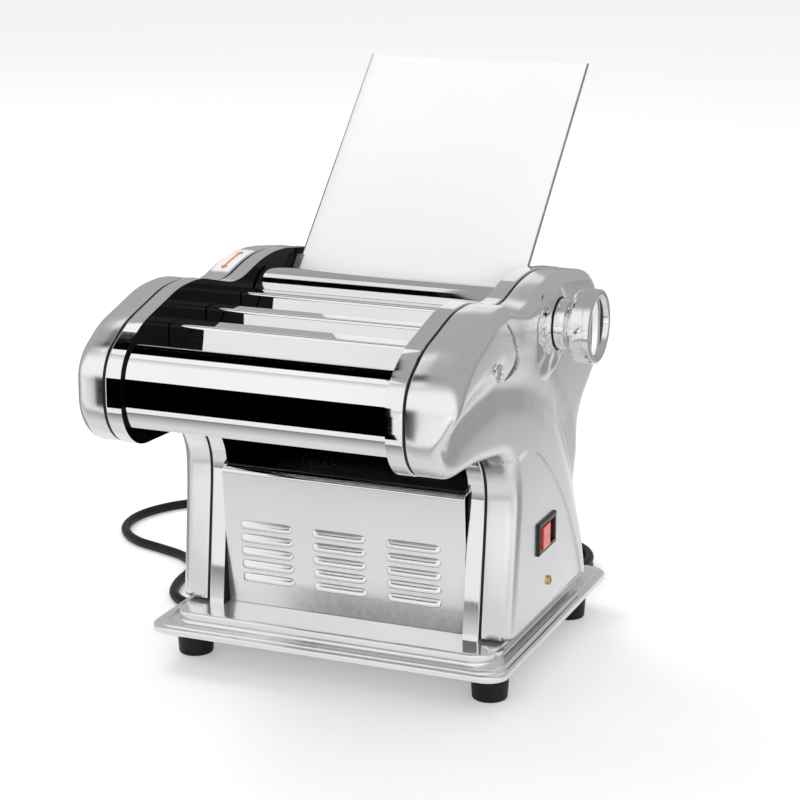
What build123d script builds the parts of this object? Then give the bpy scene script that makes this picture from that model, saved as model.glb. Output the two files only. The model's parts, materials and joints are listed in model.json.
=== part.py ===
"""Electric pasta maker: sheet rollers, three pairs of noodle cutters, gear train, motor and base.

Millimetres. X runs to the right, Y to the back and Z up. The origin is on the standing surface,
in the middle of the four feet. The rollers lie along X between two cast side frames.
"""
import os
from math import acos, atan2, cos, degrees, hypot, pi, radians, sin, sqrt

from build123d import *

# ---- clearances ----
fit = 0.05                # radial play of a bush, pin or gear on its seat
run = 0.06                # radial play of a journal in its bush
seam = 0.3                # gap between neighbouring fixed pieces
gap = 1.0                 # free side play of a roller between its frames

# ---- base tray and feet ----
tray_width = 250.0
tray_depth = 227.0
tray_corner = 14.0
tray_sheet = 1.5
tray_rim = 13.0
foot_height = 22.5
tray_step = 12.5          # height of the plateau over the rim's lower edge
rim_lip = 4.5
bead_radius = 2.2
foot_inset_x = 19.5       # from the middle of a foot to the tray's side
foot_inset_y = 33.5
foot_radius_top = 13.0
foot_radius_bottom = 11.5
foot_neck_radius = 9.0
foot_recess_radius = 5.5
foot_recess_depth = 8.0
foot_screw_radius = 2.0
foot_screw_head = 4.2
foot_screw_head_height = 2.6

# ---- side frames ----
frame_gap = 171.0         # free width between the two frames
frame_thick = 10.7
leg_front = -77.5         # front and back of the legs where they stand on the tray
leg_rear = 79.0
frame_corners = [         # (y, z, radius) of each rounded corner, from the front of the leg over the head
    (-68.5, 118.0, 150.0), (-67.0, 160.5, 38.0), (-140.0, 172.5, 120.0), (-205.5, 175.0, 32.0),
    (-205.0, 232.0, 28.0), (-176.0, 249.5, 60.0), (-128.0, 262.0, 80.0), (-100.0, 262.5, 80.0),
    (-48.0, 249.0, 60.0), (5.0, 262.5, 140.0), (90.0, 248.5, 38.0), (112.0, 190.0, 26.0),
    (53.0, 155.0, 24.0), (59.0, 100.0, 150.0),
]
nose_y, nose_z = -165.0, 212.0                      # middle of the round nose of the head
nose_radius = 47.0
back_y, back_z = 68.0, 206.0                        # middle of the round back of the head

# ---- outer shells ----
shell_wall = 2.5
shell_inset = 0.4         # the shells' outline lies this far inside the frames'
seam_width = 0.8
left_shell_depth = 23.0
right_shell_depth = 23.0
nose_extra = 10.0         # the right cover is this much thicker at its nose
nose_front_y = -205.0     # the extra thickness falls off evenly from here
nose_fade_y = -44.0       # to here
nose_valley = [           # lower edge of the thicker part, from the front
    (-220.0, 168.0), (-176.0, 170.0), (-162.0, 188.0), (-143.0, 205.0), (-111.0, 213.0),
    (-75.0, 206.0), (-40.0, 196.0), (-40.0, 280.0), (-220.0, 280.0),
]
shell_round = 9.0
arch_step = 1.5
arch_top = (-36.0, 153.0)
arch_middle = (12.0, 116.5)
arch_foot_y = 66.0
shell_lift = 2.5          # shadow gap under the shells

# ---- rollers and cutters ----
roller_radius = 21.0
sheet_gap_max = 3.0
sheet_gap_min = 0.3
knob_y, knob_z = -5.0, 231.0
roller_tilt = 32.3        # slope of the line through both sheet rollers, in degrees
journal_radius = 7.0
bush_wall = 3.0
cutter_pitch = 50.0       # from one pair of cutters to the next
first_nip_y = -146.0
cutter_z = 203.0
cutter_bite = 1.5         # how far the cutting discs reach past one another
cutter_journal = 5.0
cutter_core = 8.6
noodle_widths = {"wide": 9.0, "flat": 5.0, "thin": 2.5}
disc_play = 0.3
scraper_reach = 9.0       # from the fixed roller to the root of its scraper
scraper_angle = 238.0
scraper_turn = 16.0
carriage_bar_angle = 199.5
carriage_bar_radius = 2.5

# ---- gears ----
gear_module = 1.5
cutter_teeth = 15
roller_teeth = 30
cutter_idler_teeth = 22
rear_idler_teeth = 24
pinion_teeth = 12
gear_width = 7.0
gear_play = 0.32          # how much thinner each tooth is than half a pitch
sync_teeth = 15
sync_width = 9.0
sync_addendum = 2.0
sync_tooth = 3.2
idler_axle = 3.0
drive_angle = 259.6       # direction from the fixed roller to the drive idler, in degrees
output_angle = 235.2      # and from the drive idler to the gearbox output

# ---- thickness adjuster ----
cam_radius = 13.5
cam_thick = 4.0
cam_pin_radius = 2.0
cam_pin_reach = 9.0
adjust_turn = 270.0
knob_radius = 24.0
collar_radius = 16.5
knob_shaft_radius = 6.0
knob_face_x = 150.0
knob_rim_width = 14.0
knob_dish = 4.0
boss_height = 3.0         # the boss under the knob
knob_gap = 0.5            # free space under the knob
dial_thick = 0.4
block_length = 30.0
block_height = 20.0

# ---- sheet-metal covers ----
sheet = 1.5
cover_inset = 3.0
deck_z = 242.0
feed_gap = 3.0            # from the nip to each wall of a feed slot
feed_foot_z = 216.0
deck_widths = {"wide": 16.0, "flat": 12.0, "thin": 17.0}
nose_open = 134.0         # the front cover covers the nose from this angle
nose_close = 215.0        # to this one
chute_front = (-73.0, 133.0)
chute_slope = 21.0
chute_end_y = 51.0
panel_top = (-76.0, 131.0)
panel_foot_y = -68.0
louver_length = 38.0
louver_height = 5.5
louver_pitch = 9.4
louver_rows = 5
louver_columns = (-55.0, -3.0, 49.5)
louver_top_z = 92.0

# ---- dough baffle ----
baffle_gap = 3.0          # between the baffle and each frame
baffle_thick = 3.0
baffle_length = 205.0
baffle_foot = (28.5, 231.0)
rail_start = 4.0          # from the baffle's foot up its slope to the rails
rail_length = 22.0
rail_wall = 1.6

# ---- motor ----
motor_y, motor_z = -8.0, 88.0
motor_radius = 32.0
motor_length = 92.0
motor_left_x = -52.0
output_radius = 13.0

# ---- switch, screws and label ----
switch_y, switch_z = -12.0, 91.0
bezel_size = (34.0, 22.0)
bezel_lip = 2.0           # how far the bezel overlaps the panel round its hole
rocker_size = (26.0, 15.0)
rocker_throw = 16.0
rocker_pivot = -4.0        # the rocker's pin lies this far behind the panel
brass_screw = (-4.4, 56.0)
cap_screw = (-126.0, 226.5)
label_length = 40.0
label_width = 13.0
label_thick = 0.5
label_shift = 8.0

# ---- mains lead ----
cord_radius = 3.5
cord_exit = 20.0          # the lead runs straight for this far out of its sleeve
gland_x, gland_z = -50.0, 46.0
gland_radius = 7.0
gland_length = 36.0
cord_route = [            # from the strain relief down to the floor and round to the coil
    (-52, 147, 60), (-57, 165, 49), (-65, 180, 32), (-77, 193, 16),
    (-95, 206, 6.5), (-120, 217, 3.5), (-153, 226, 3.5), (-190, 228, 3.5), (-227, 219, 3.5),
    (-262, 197, 3.5), (-281, 160, 3.5), (-277, 124, 3.5), (-254, 99, 3.5), (-224, 90, 3.5),
    (-196, 80, 3.5), (-179, 56, 3.5), (-177, 27, 3.5), (-167, 0, 3.5), (-142, -14, 3.5),
    (-113, -11, 3.5), (-91, 9, 3.5), (-75, 38, 3.5), (-58, 67, 3.5), (-36, 92, 3.5),
    (-10, 110, 3.5), (20, 119.5, 3.5), (50, 120.5, 3.5),
]
coil_mid_radius = 39.0
coil_layers = 2
coil_rings = 2
plug_size = (30.0, 22.0, 34.0)

# ---- derived places ----
frame_in = frame_gap / 2
frame_out = frame_in + frame_thick
shell_in = frame_out + seam_width
left_face = shell_in + left_shell_depth
right_face = shell_in + right_shell_depth
boss_face = right_face + boss_height
nose_face = right_face + nose_extra
coil_outer_turn = coil_mid_radius + cord_radius * (coil_rings - 1)
foot_span_x = tray_width - 2 * foot_inset_x
foot_span_y = tray_depth - 2 * foot_inset_y
rim_z = foot_height
foot_top_z = rim_z + rim_lip - tray_sheet
foot_screw_seat = foot_recess_depth + foot_screw_head_height
plateau_z = rim_z + tray_step
shell_foot_z = plateau_z + shell_lift
plateau_width = tray_width - 2 * tray_rim
plateau_depth = tray_depth - 2 * tray_rim
tilt = radians(roller_tilt)
centre_distance = 2 * roller_radius + sheet_gap_max
fixed_y = knob_y + centre_distance * cos(tilt)
fixed_z = knob_z - centre_distance * sin(tilt)
adjust_travel = sheet_gap_max - sheet_gap_min
sync_module = centre_distance / sync_teeth
cutter_centre = gear_module * cutter_teeth
cutter_radius = (cutter_centre + cutter_bite) / 2
nips = {name: first_nip_y + i * cutter_pitch for i, name in enumerate(noodle_widths)}
roller_half = frame_in - gap
gear_in = shell_in + 1.2
gear_out = gear_in + gear_width
drive_in = gear_out + 1.8
drive_out = drive_in + gear_width
sync_in = shell_in + 2.0


# ---- small helpers ----
def rod(x0, x1, y, z, r):
    """A round bar along X."""
    return Pos((x0 + x1) / 2, y, z) * Rot(0, 90, 0) * Cylinder(r, abs(x1 - x0))


def box(x0, x1, y0, y1, z0, z1):
    return Pos((x0 + x1) / 2, (y0 + y1) / 2, (z0 + z1) / 2) * Box(x1 - x0, y1 - y0, z1 - z0)


def prism(face, x0, x1):
    """Extrude a face drawn in (Y, Z) from x0 to x1."""
    return Pos(x0, 0, 0) * extrude(Plane.YZ * face, x1 - x0)


def polygon(points):
    """A straight-sided face in the plane, from its corners in order."""
    return make_face(Polyline(*points, close=True))


def circle_at(y, z, r):
    return Pos(y, z) * Circle(r)


def strip(points, thick):
    """The section of a bent sheet: a band of one thickness to the left of a path."""
    left = []
    for i, (y, z) in enumerate(points):
        before = points[max(i - 1, 0)]
        after = points[min(i + 1, len(points) - 1)]
        ends = []
        for a, b in ((before, (y, z)), ((y, z), after)):
            length = hypot(b[0] - a[0], b[1] - a[1])
            if length > 0:
                ends.append((-(b[1] - a[1]) / length, (b[0] - a[0]) / length))
        ny = sum(n[0] for n in ends) / len(ends)
        nz = sum(n[1] for n in ends) / len(ends)
        scale_up = thick / (ny * ny + nz * nz)
        left.append((y + ny * scale_up, z + nz * scale_up))
    return polygon(list(points) + left[::-1])


def write(node, shape):
    export_step(shape, f"parts/{node}.step")


# ---- outlines in (Y, Z) ----
def on_circle(y, z, r, angle):
    return (y + r * cos(radians(angle)), z + r * sin(radians(angle)))


def frame_outline(below=0.0):
    """The side frame: a round nose, a hump over the sheet rollers, a round back and one leg.

    The leg's sloping edges can run on below the tray's plateau."""
    corners = [(y, z) for y, z, r in frame_corners]
    radii = [r for y, z, r in frame_corners]
    start, end = [
        (foot_y + (foot_y - y) * below / (z - plateau_z), plateau_z - below)
        for foot_y, (y, z) in ((leg_front, corners[0]), (leg_rear, corners[-1]))]
    return make_face(FilletPolyline(start, *corners, end, radius=radii) + Line(end, start))


def inset_outline(amount):
    """The frame's outline drawn in by an even amount, open towards the tray."""
    return offset(frame_outline(below=10.0), -amount)


def arch_outline():
    """The recessed side panel of the right leg, under an arch."""
    low = shell_foot_z - 4
    outside = leg_front - 12
    arch = ThreePointArc(arch_top, arch_middle, (arch_foot_y, low))
    rest = Polyline((arch_foot_y, low), (outside, low), (outside, arch_top[1]), arch_top)
    return make_face(arch + rest)


# ---- base ----
def tray_outline(shrink):
    return RectangleRounded(
        tray_width - 2 * shrink, tray_depth - 2 * shrink, max(tray_corner - shrink, 1.0))


def base_tray():
    """A pressed stainless tray: a turned-down lip, a beaded rim and a raised plateau."""
    rim_top = rim_z + rim_lip
    plateau = RectangleRounded(plateau_width, plateau_depth, tray_corner)
    plateau_bore = RectangleRounded(
        plateau_width - 2 * tray_sheet, plateau_depth - 2 * tray_sheet, tray_corner - tray_sheet)
    lip = Pos(0, 0, rim_z) * extrude(tray_outline(0) - tray_outline(tray_sheet), rim_lip)
    rim = Pos(0, 0, rim_top - tray_sheet) * extrude(tray_outline(0) - plateau_bore, tray_sheet)
    riser = Pos(0, 0, rim_top - tray_sheet) * extrude(
        plateau - plateau_bore, plateau_z - rim_top + tray_sheet)
    top = Pos(0, 0, plateau_z - tray_sheet) * extrude(plateau, tray_sheet)
    path_inset = tray_rim * 0.45
    outer = tray_outline(path_inset - bead_radius)
    inner = tray_outline(path_inset + bead_radius)
    bead = Pos(0, 0, rim_top) * extrude(outer - inner, bead_radius * 0.6)
    crown = bead.faces().sort_by(Axis.Z)[-1]
    bead = chamfer(crown.edges(), bead_radius * 0.55)
    tray = lip + rim + riser + top + bead
    edge = tray.edges().filter_by_position(Axis.Z, plateau_z - 0.01, plateau_z + 0.01)
    tray = fillet(edge, tray_sheet * 0.9)
    depth = plateau_z - tray_sheet - foot_top_z
    for x, y in foot_places():
        boss = Cylinder(foot_neck_radius, depth) - Cylinder(foot_screw_radius + fit, depth)
        tray += Pos(x, y, foot_top_z + depth / 2) * boss
    return tray


def foot_places():
    return [(sx * foot_span_x / 2, sy * foot_span_y / 2) for sx in (-1, 1) for sy in (-1, 1)]


def rubber_feet():
    feet = []
    for x, y in foot_places():
        foot = Pos(0, 0, foot_height / 2) * Cone(foot_radius_bottom, foot_radius_top, foot_height)
        foot = fillet(foot.edges().sort_by(Axis.Z)[0], 1.5)
        neck = Cylinder(foot_neck_radius, foot_top_z - foot_height)
        foot += Pos(0, 0, (foot_height + foot_top_z) / 2) * neck
        foot -= Pos(0, 0, foot_recess_depth / 2) * Cylinder(foot_recess_radius, foot_recess_depth)
        foot -= Pos(0, 0, foot_screw_seat / 2) * Cylinder(foot_screw_head + seam, foot_screw_seat)
        foot -= Pos(0, 0, foot_top_z / 2) * Cylinder(foot_screw_radius + fit, foot_top_z)
        feet.append(Pos(x, y, 0) * foot)
    return Compound(children=feet)


def foot_screws():
    screws = []
    top = plateau_z - tray_sheet - seam
    for x, y in foot_places():
        head = Pos(0, 0, foot_screw_seat - foot_screw_head_height / 2) * Cylinder(
            foot_screw_head, foot_screw_head_height)
        cross = Box(foot_screw_head * 1.2, 1.2, 1.6) + Box(1.2, foot_screw_head * 1.2, 1.6)
        shank = Pos(0, 0, (foot_screw_seat + top) / 2) * Cylinder(
            foot_screw_radius, top - foot_screw_seat)
        screws.append(Pos(x, y, 0) * (head - Pos(0, 0, foot_recess_depth) * cross + shank))
    return Compound(children=screws)


# ---- places that the drive decides ----
def meet(first, first_reach, second, second_reach):
    """The point at these distances from two centres, to the right of the way between them."""
    dy, dz = second[0] - first[0], second[1] - first[1]
    apart = hypot(dy, dz)
    along = (first_reach**2 - second_reach**2 + apart**2) / (2 * apart)
    aside = sqrt(first_reach**2 - along**2)
    y = first[0] + (along * dy + aside * dz) / apart
    z = first[1] + (along * dz - aside * dy) / apart
    return (y, z)


def mesh_reach(first_teeth, second_teeth, module=gear_module):
    return module * (first_teeth + second_teeth) / 2


fixed_axis = (fixed_y, fixed_z)
knob_axis = (knob_y, knob_z)
rear_axes = {name: (y + cutter_centre / 2, cutter_z) for name, y in nips.items()}
front_axes = {name: (y - cutter_centre / 2, cutter_z) for name, y in nips.items()}
cutter_idler_reach = mesh_reach(cutter_teeth, cutter_idler_teeth)
idlers = {                # teeth and axis of each idler between the cutters and the fixed roller
    "front": (cutter_idler_teeth, meet(
        rear_axes["flat"], cutter_idler_reach, rear_axes["wide"], cutter_idler_reach)),
    "middle": (cutter_idler_teeth, meet(
        rear_axes["thin"], cutter_idler_reach, rear_axes["flat"], cutter_idler_reach)),
    "rear": (rear_idler_teeth, meet(
        rear_axes["thin"], mesh_reach(cutter_teeth, rear_idler_teeth),
        fixed_axis, mesh_reach(roller_teeth, rear_idler_teeth))),
}
idler_axes = [axis for teeth, axis in idlers.values()]
drive_axis = on_circle(*fixed_axis, mesh_reach(roller_teeth, roller_teeth), drive_angle)
output_axis = on_circle(*drive_axis, mesh_reach(roller_teeth, pinion_teeth), output_angle)


# ---- side frames ----
def block_face(grow_side, grow_back, travel):
    """The bearing block's section, or its window when it is grown; it slides towards the fixed roller."""
    along0 = -block_length / 2 - 4 - grow_side
    along1 = block_length / 2 + grow_back + travel
    low = -block_height / 2 - 13.5 - grow_side
    high = block_height / 2 + grow_side
    slab = Pos((along0 + along1) / 2, (low + high) / 2) * Rectangle(along1 - along0, high - low)
    return Pos(knob_y, knob_z) * Rot(0, 0, -roller_tilt) * slab


def side_frame(right):
    """A cast side plate with its bearing seats and the window of the sliding bearing block."""
    plate = frame_outline()
    plate -= circle_at(*fixed_axis, journal_radius + bush_wall + fit)
    for axis in list(rear_axes.values()) + list(front_axes.values()):
        plate -= circle_at(*axis, cutter_journal + bush_wall + fit)
    plate -= block_face(seam / 2, seam / 2, adjust_travel + seam / 2)
    if right:
        plate -= circle_at(*output_axis, output_radius - 4)
        for axis in idler_axes + [drive_axis]:
            plate -= circle_at(*axis, idler_axle + fit)
    frame = prism(plate, frame_in, frame_out)
    frame = round_edge(frame, 1.0)
    for y, z in (brass_screw, cap_screw, (back_y + 10, back_z)):
        frame -= rod(frame_out - 7, frame_out + 1, y, z, 1.6)
    return frame if right else mirror(frame, Plane.YZ)


def round_edge(shape, radius):
    """Round the outline's edge on the outermost side face."""
    face = shape.faces().sort_by(Axis.X)[-1]
    return fillet(face.outer_wire().edges(), radius)


def tie_rods():
    rods = []
    for y, z in tie_places():
        bar = rod(-frame_in, frame_in, y, z, 4.5)
        rods.append(bar)
    return Compound(children=rods)


def tie_places():
    low_z = plateau_z + 17
    return [(nose_y - 18, nose_z - 16), (back_y + 8, back_z + 18), (-50, low_z), (50, low_z)]


# ---- outer shells ----
def above_foot(shape):
    return shape - box(-tray_width, tray_width, -tray_depth, tray_depth, 0, shell_foot_z)


def screw_post(x0, x1, y, z):
    return rod(x0, x1, y, z, 4.5) - rod(x0 - 1, x1 + 1, y, z, 1.9)


def shell_solid(inset, start, face, radius):
    """The frame's outline, drawn in and built out to a side face with a round edge."""
    return round_edge(prism(inset_outline(inset), start, face), radius)


def nose_x(y):
    """How far out the right cover's side stands over its thicker front."""
    return right_face + nose_extra * (nose_fade_y - y) / (nose_fade_y - nose_front_y)


def nose_solid(inset, start, sink, radius):
    """The thicker front of the right cover, under a side face that slopes down to the back."""
    ends = [(nose_x(y) - sink, y) for y in (back_y + 80, nose_front_y - 20)]
    below = polygon([(start, ends[1][1]), ends[1], ends[0], (start, ends[0][1])])
    block = prism(inset_outline(inset), start, nose_face + 5) & extrude(below, 400)
    keep = prism(polygon(nose_valley), start, nose_face + 5)
    return round_edge(block, radius) & keep


def left_shell():
    """The left cover, a shallow dish that follows the frame."""
    outer = shell_solid(shell_inset, shell_in, left_face, shell_round)
    inner = shell_solid(
        shell_inset + shell_wall, shell_in - 1, left_face - shell_wall, shell_round - shell_wall)
    shell = above_foot(outer - inner)
    for y, z in (brass_screw, cap_screw):
        shell += screw_post(shell_in, left_face - shell_wall, y, z)
        shell -= rod(shell_in, left_face + 1, y, z, 2.2)
    return mirror(shell, Plane.YZ)


def right_shell():
    """The right cover: a leg with an arched side panel, a thicker nose and the knob's boss."""
    panel_face = right_face - arch_step
    outer = shell_solid(shell_inset, shell_in, right_face, shell_round)
    outer -= prism(arch_outline(), panel_face, nose_face)
    outer += nose_solid(shell_inset, shell_in, 0, shell_round)
    inner = shell_solid(
        shell_inset + shell_wall, shell_in - 1, panel_face - shell_wall, shell_round - shell_wall)
    inner += nose_solid(shell_inset + shell_wall, shell_in - 1, shell_wall, shell_round - shell_wall)
    shell = above_foot(outer - inner)
    boss = Pos((right_face + boss_face) / 2 - 1, knob_y, knob_z) * Rot(0, 90, 0) * Cone(
        collar_radius + 6, collar_radius + 1, boss_face - right_face + 2)
    shell += boss
    shell -= rod(shell_in, boss_face + 1, knob_y, knob_z, knob_shaft_radius + run)
    half_y, half_z = bezel_size[0] / 2 - bezel_lip, bezel_size[1] / 2 - bezel_lip
    shell -= box(panel_face - 10, panel_face + 10, switch_y - half_y, switch_y + half_y,
                 switch_z - half_z, switch_z + half_z)
    for (y, z), face in ((brass_screw, panel_face), (cap_screw, nose_x(cap_screw[0]))):
        shell += screw_post(gear_out + 1, face - shell_wall, y, z)
        shell -= rod(shell_in, face + 1, y, z, 2.2)
    return shell


def shell_screws():
    """Brass screws low on the legs and capped screws on the nose of each cover."""
    cap_face = nose_x(cap_screw[0]) + seam
    screws = [
        screw(right_face - arch_step, *brass_screw, 3.2, 1.4),
        screw(cap_face, *cap_screw, 5.6, 1.2),
        mirror(screw(left_face, *brass_screw, 3.2, 1.4), Plane.YZ),
        mirror(screw(left_face, *cap_screw, 5.6, 1.2), Plane.YZ),
    ]
    return Compound(children=screws)


def screw(face, y, z, head, depth):
    body = rod(face, face + depth, y, z, head) + rod(frame_out - 6, face, y, z, 1.5)
    slot = Pos(face + depth, y, z) * (Box(1.2, head * 1.2, 0.9) + Box(1.2, 0.9, head * 1.2))
    return body - slot


# ---- rollers, bushes and scrapers ----
def stepped_roller(profile, axis):
    """Turn a profile of (x, radius) steps about the roller's own axis."""
    points = [(profile[0][0], 0)] + profile + [(profile[-1][0], 0)]
    return Pos(0, *axis) * revolve(Plane.XY * polygon(points), Axis.X)


def fixed_roller():
    left_end = -(sync_in + sync_width)
    return stepped_roller([
        (left_end, journal_radius), (-roller_half, journal_radius), (-roller_half, roller_radius),
        (roller_half, roller_radius), (roller_half, journal_radius), (drive_out, journal_radius),
    ], fixed_axis)


def adjust_roller():
    left_end = -(sync_in + sync_width)
    return stepped_roller([
        (left_end, journal_radius), (-roller_half, journal_radius), (-roller_half, roller_radius),
        (roller_half, roller_radius), (roller_half, journal_radius), (frame_out - 1.0, journal_radius),
    ], knob_axis)


def cutter_profile(width, shifted, left_end, right_end):
    """Discs and grooves of one noodle width; the partner's discs run in these grooves."""
    period = 2 * (width + disc_play)
    half = roller_half - 4
    start = -half + (period / 2 if shifted else 0)
    steps = [(left_end, cutter_journal), (-roller_half, cutter_journal), (-roller_half, cutter_core)]
    x = start + disc_play / 2
    while x + width <= half:
        steps += [(x, cutter_core), (x, cutter_radius), (x + width, cutter_radius), (x + width, cutter_core)]
        x += period
    steps += [(roller_half, cutter_core), (roller_half, cutter_journal), (right_end, cutter_journal)]
    return steps


def cutter(name, rear):
    """One cutting roller with the gears that are pinned to it."""
    axis = rear_axes[name] if rear else front_axes[name]
    right_end = gear_out if rear else frame_out - 0.5
    roller = stepped_roller(
        cutter_profile(noodle_widths[name], rear, -gear_out, right_end), axis)
    pieces = [roller]
    phase = phases[name, "rear" if rear else "front"]
    pieces.append(gear(cutter_teeth, phase, cutter_journal, -gear_out, -gear_in, axis))
    if rear:
        pieces.append(gear(cutter_teeth, phase, cutter_journal, gear_in, gear_out, axis))
    return Compound(children=pieces)


def bearing_bushes():
    """Flanged brass bushes of the fixed roller and of the six cutters, in both frames."""
    bushes = []
    seats = [(fixed_axis, journal_radius)]
    seats += [(axis, cutter_journal) for axis in list(rear_axes.values()) + list(front_axes.values())]
    for axis, radius in seats:
        for side in (-1, 1):
            x0, x1 = sorted((side * (frame_in + 0.2), side * (frame_out + 0.4)))
            bushes.append(rod(x0, x1, *axis, radius + bush_wall) - rod(x0 - 1, x1 + 1, *axis, radius + run))
    return Compound(children=bushes)


def cutter_combs():
    """Combs under the cutters whose fingers lift the noodles out of the grooves."""
    combs = []
    half = frame_in - seam
    top = cutter_z - cutter_radius - 0.6
    tip = cutter_z - cutter_core - 0.8
    for name, width in noodle_widths.items():
        period = 2 * (width + disc_play)
        for rear in (False, True):
            axis = rear_axes[name] if rear else front_axes[name]
            first = -roller_half + 4 + (period / 2 if rear else 0) + disc_play / 2 + width
            points = [(-half, top - 6), (-half, top)]
            x = first + 0.35
            finger = width + 2 * disc_play - 0.7
            while x + finger <= roller_half - 4:
                points += [(x, top), (x, tip), (x + finger, tip), (x + finger, top)]
                x += period
            points += [(half, top), (half, top - 6)]
            plate = extrude(Plane.XZ * polygon(points), 0.6, both=True)
            combs.append(Pos(0, axis[0], 0) * plate)
    return Compound(children=combs)


def sheet_scraper():
    """A spring-steel blade that keeps dough off the fixed roller."""
    base = on_circle(*fixed_axis, roller_radius + scraper_reach, scraper_angle)
    tip = on_circle(*fixed_axis, roller_radius + 2 * seam, scraper_angle - scraper_turn)
    half = frame_in - seam
    return prism(strip([base, tip], 0.8), -half, half)


def roller_carriage():
    """Two bearing blocks joined by a scraper bar, with the pin that rides in the adjusting cam."""
    hole = circle_at(*knob_axis, journal_radius + run)
    section = block_face(0, 0, 0) - hole
    blocks = prism(section, -frame_out + 0.2, -frame_in) + prism(section, frame_in, frame_out - 0.2)
    bar_reach = roller_radius + carriage_bar_radius + 1.5
    bar_y, bar_z = on_circle(*knob_axis, bar_reach, carriage_bar_angle)
    bar = rod(-frame_in - 2, frame_in + 2, bar_y, bar_z, carriage_bar_radius)
    pin_y, pin_z = on_circle(*knob_axis, cam_pin_reach, 180 - roller_tilt)
    pin = rod(frame_out - 4, cam_out, pin_y, pin_z, cam_pin_radius)
    return blocks + bar + pin


# ---- gears ----
def involute(radius, base):
    angle = acos(min(base / radius, 1.0))
    return sin(angle) / cos(angle) - angle


def gear_outline(teeth, phase, module, tooth, tip, root):
    """Straight-flanked involute teeth: each flank has points at the root, pitch circle and tip."""
    pitch = module * teeth / 2
    base = pitch * cos(radians(20))
    points = []
    for i in range(teeth):
        middle = phase + 2 * pi * i / teeth
        flank = []
        for radius in (root, max(base, root + 0.01), pitch, tip):
            half = tooth / (2 * pitch) + involute(pitch, base) - involute(max(radius, base), base)
            flank.append((radius, half))
        for radius, half in flank:
            points.append((radius * cos(middle - half), radius * sin(middle - half)))
        for radius, half in flank[::-1]:
            points.append((radius * cos(middle + half), radius * sin(middle + half)))
    return polygon(points)


def gear(teeth, phase, bore, x0, x1, axis):
    pitch = gear_module * teeth / 2
    tooth = pi * gear_module / 2 - gear_play
    tip, root = pitch + 0.9 * gear_module, pitch - 1.25 * gear_module
    face = gear_outline(teeth, phase, gear_module, tooth, tip, root) - Circle(bore + fit)
    return prism(Pos(*axis) * face, x0, x1)


def sync_gear(phase, axis):
    """Long thin teeth that stay in mesh while the rollers move apart."""
    pitch = sync_module * sync_teeth / 2
    tip = pitch + sync_addendum
    root = centre_distance - adjust_travel - tip - seam
    face = gear_outline(sync_teeth, phase, sync_module, sync_tooth, tip, root) - Circle(journal_radius + fit)
    return prism(Pos(*axis) * face, -sync_in - sync_width, -sync_in)


def meshed_phase(first_axis, first_teeth, first_phase, second_axis, second_teeth):
    """The phase that puts a space of the second gear against a tooth of the first."""
    line = atan2(second_axis[1] - first_axis[1], second_axis[0] - first_axis[0])
    part = (line - first_phase) / (2 * pi / first_teeth) % 1.0
    return line + pi - (0.5 - part) * 2 * pi / second_teeth


def gear_phases():
    """Tooth phases of the whole train, worked out from the fixed roller's gear."""
    found = {"fixed": 0.0}
    last_axis, last_teeth, last_phase = fixed_axis, roller_teeth, found["fixed"]
    for idler, name in (("rear", "thin"), ("middle", "flat"), ("front", "wide")):
        teeth, axis = idlers[idler]
        idler_phase = meshed_phase(last_axis, last_teeth, last_phase, axis, teeth)
        phase = meshed_phase(axis, teeth, idler_phase, rear_axes[name], cutter_teeth)
        found["idler " + idler] = idler_phase
        found[name, "rear"] = phase
        found[name, "front"] = meshed_phase(
            rear_axes[name], cutter_teeth, phase, front_axes[name], cutter_teeth)
        last_axis, last_teeth, last_phase = rear_axes[name], cutter_teeth, phase
    found["drive"] = meshed_phase(fixed_axis, roller_teeth, 0.0, drive_axis, roller_teeth)
    found["pinion"] = meshed_phase(drive_axis, roller_teeth, found["drive"], output_axis, pinion_teeth)
    found["sync fixed"] = 0.0
    found["sync adjust"] = meshed_phase(fixed_axis, sync_teeth, 0.0, knob_axis, sync_teeth)
    return found


phases = gear_phases()
cam_in = frame_out + 1.8
cam_out = cam_in + cam_thick


def roller_drive_gears():
    return Compound(children=[
        gear(roller_teeth, phases["fixed"], journal_radius, gear_in, gear_out, fixed_axis),
        gear(roller_teeth, phases["fixed"], journal_radius, drive_in, drive_out, fixed_axis),
    ])


def idler_axles():
    axles = [rod(frame_out - 8, gear_out + 0.8, *axis, idler_axle) for axis in idler_axes]
    axles.append(rod(frame_out - 8, drive_out + 0.8, *drive_axis, idler_axle))
    return Compound(children=axles)


def motor_output():
    """The gearbox's output shaft with its pinion."""
    shaft = rod(motor_left_x + motor_length + 8, drive_out, *output_axis, 5.0)
    teeth = gear(pinion_teeth, phases["pinion"], 5.0 - 2 * fit, drive_in, drive_out, output_axis)
    return shaft + teeth


# ---- thickness adjuster ----
def cam_slot():
    """A spiral slot whose radius falls evenly over the knob's turn."""
    start = 180 - roller_tilt
    half = cam_pin_radius + seam
    points_out, points_in = [], []
    steps = 10
    for i in range(steps + 1):
        turn = -4 + (adjust_turn + 8) * i / steps
        reach = cam_pin_reach - adjust_travel * turn / adjust_turn
        points_out.append(on_circle(0, 0, reach + half, start - turn))
        points_in.append(on_circle(0, 0, reach - half, start - turn))
    sides = Spline(*points_out) + Spline(*points_in)
    caps = Line(points_out[0], points_in[0]) + Line(points_out[-1], points_in[-1])
    slot = make_face(sides + caps)
    for turn in (-4, adjust_turn + 4):
        reach = cam_pin_reach - adjust_travel * turn / adjust_turn
        slot += Pos(*on_circle(0, 0, reach, start - turn)) * Circle(half)
    return slot


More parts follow.
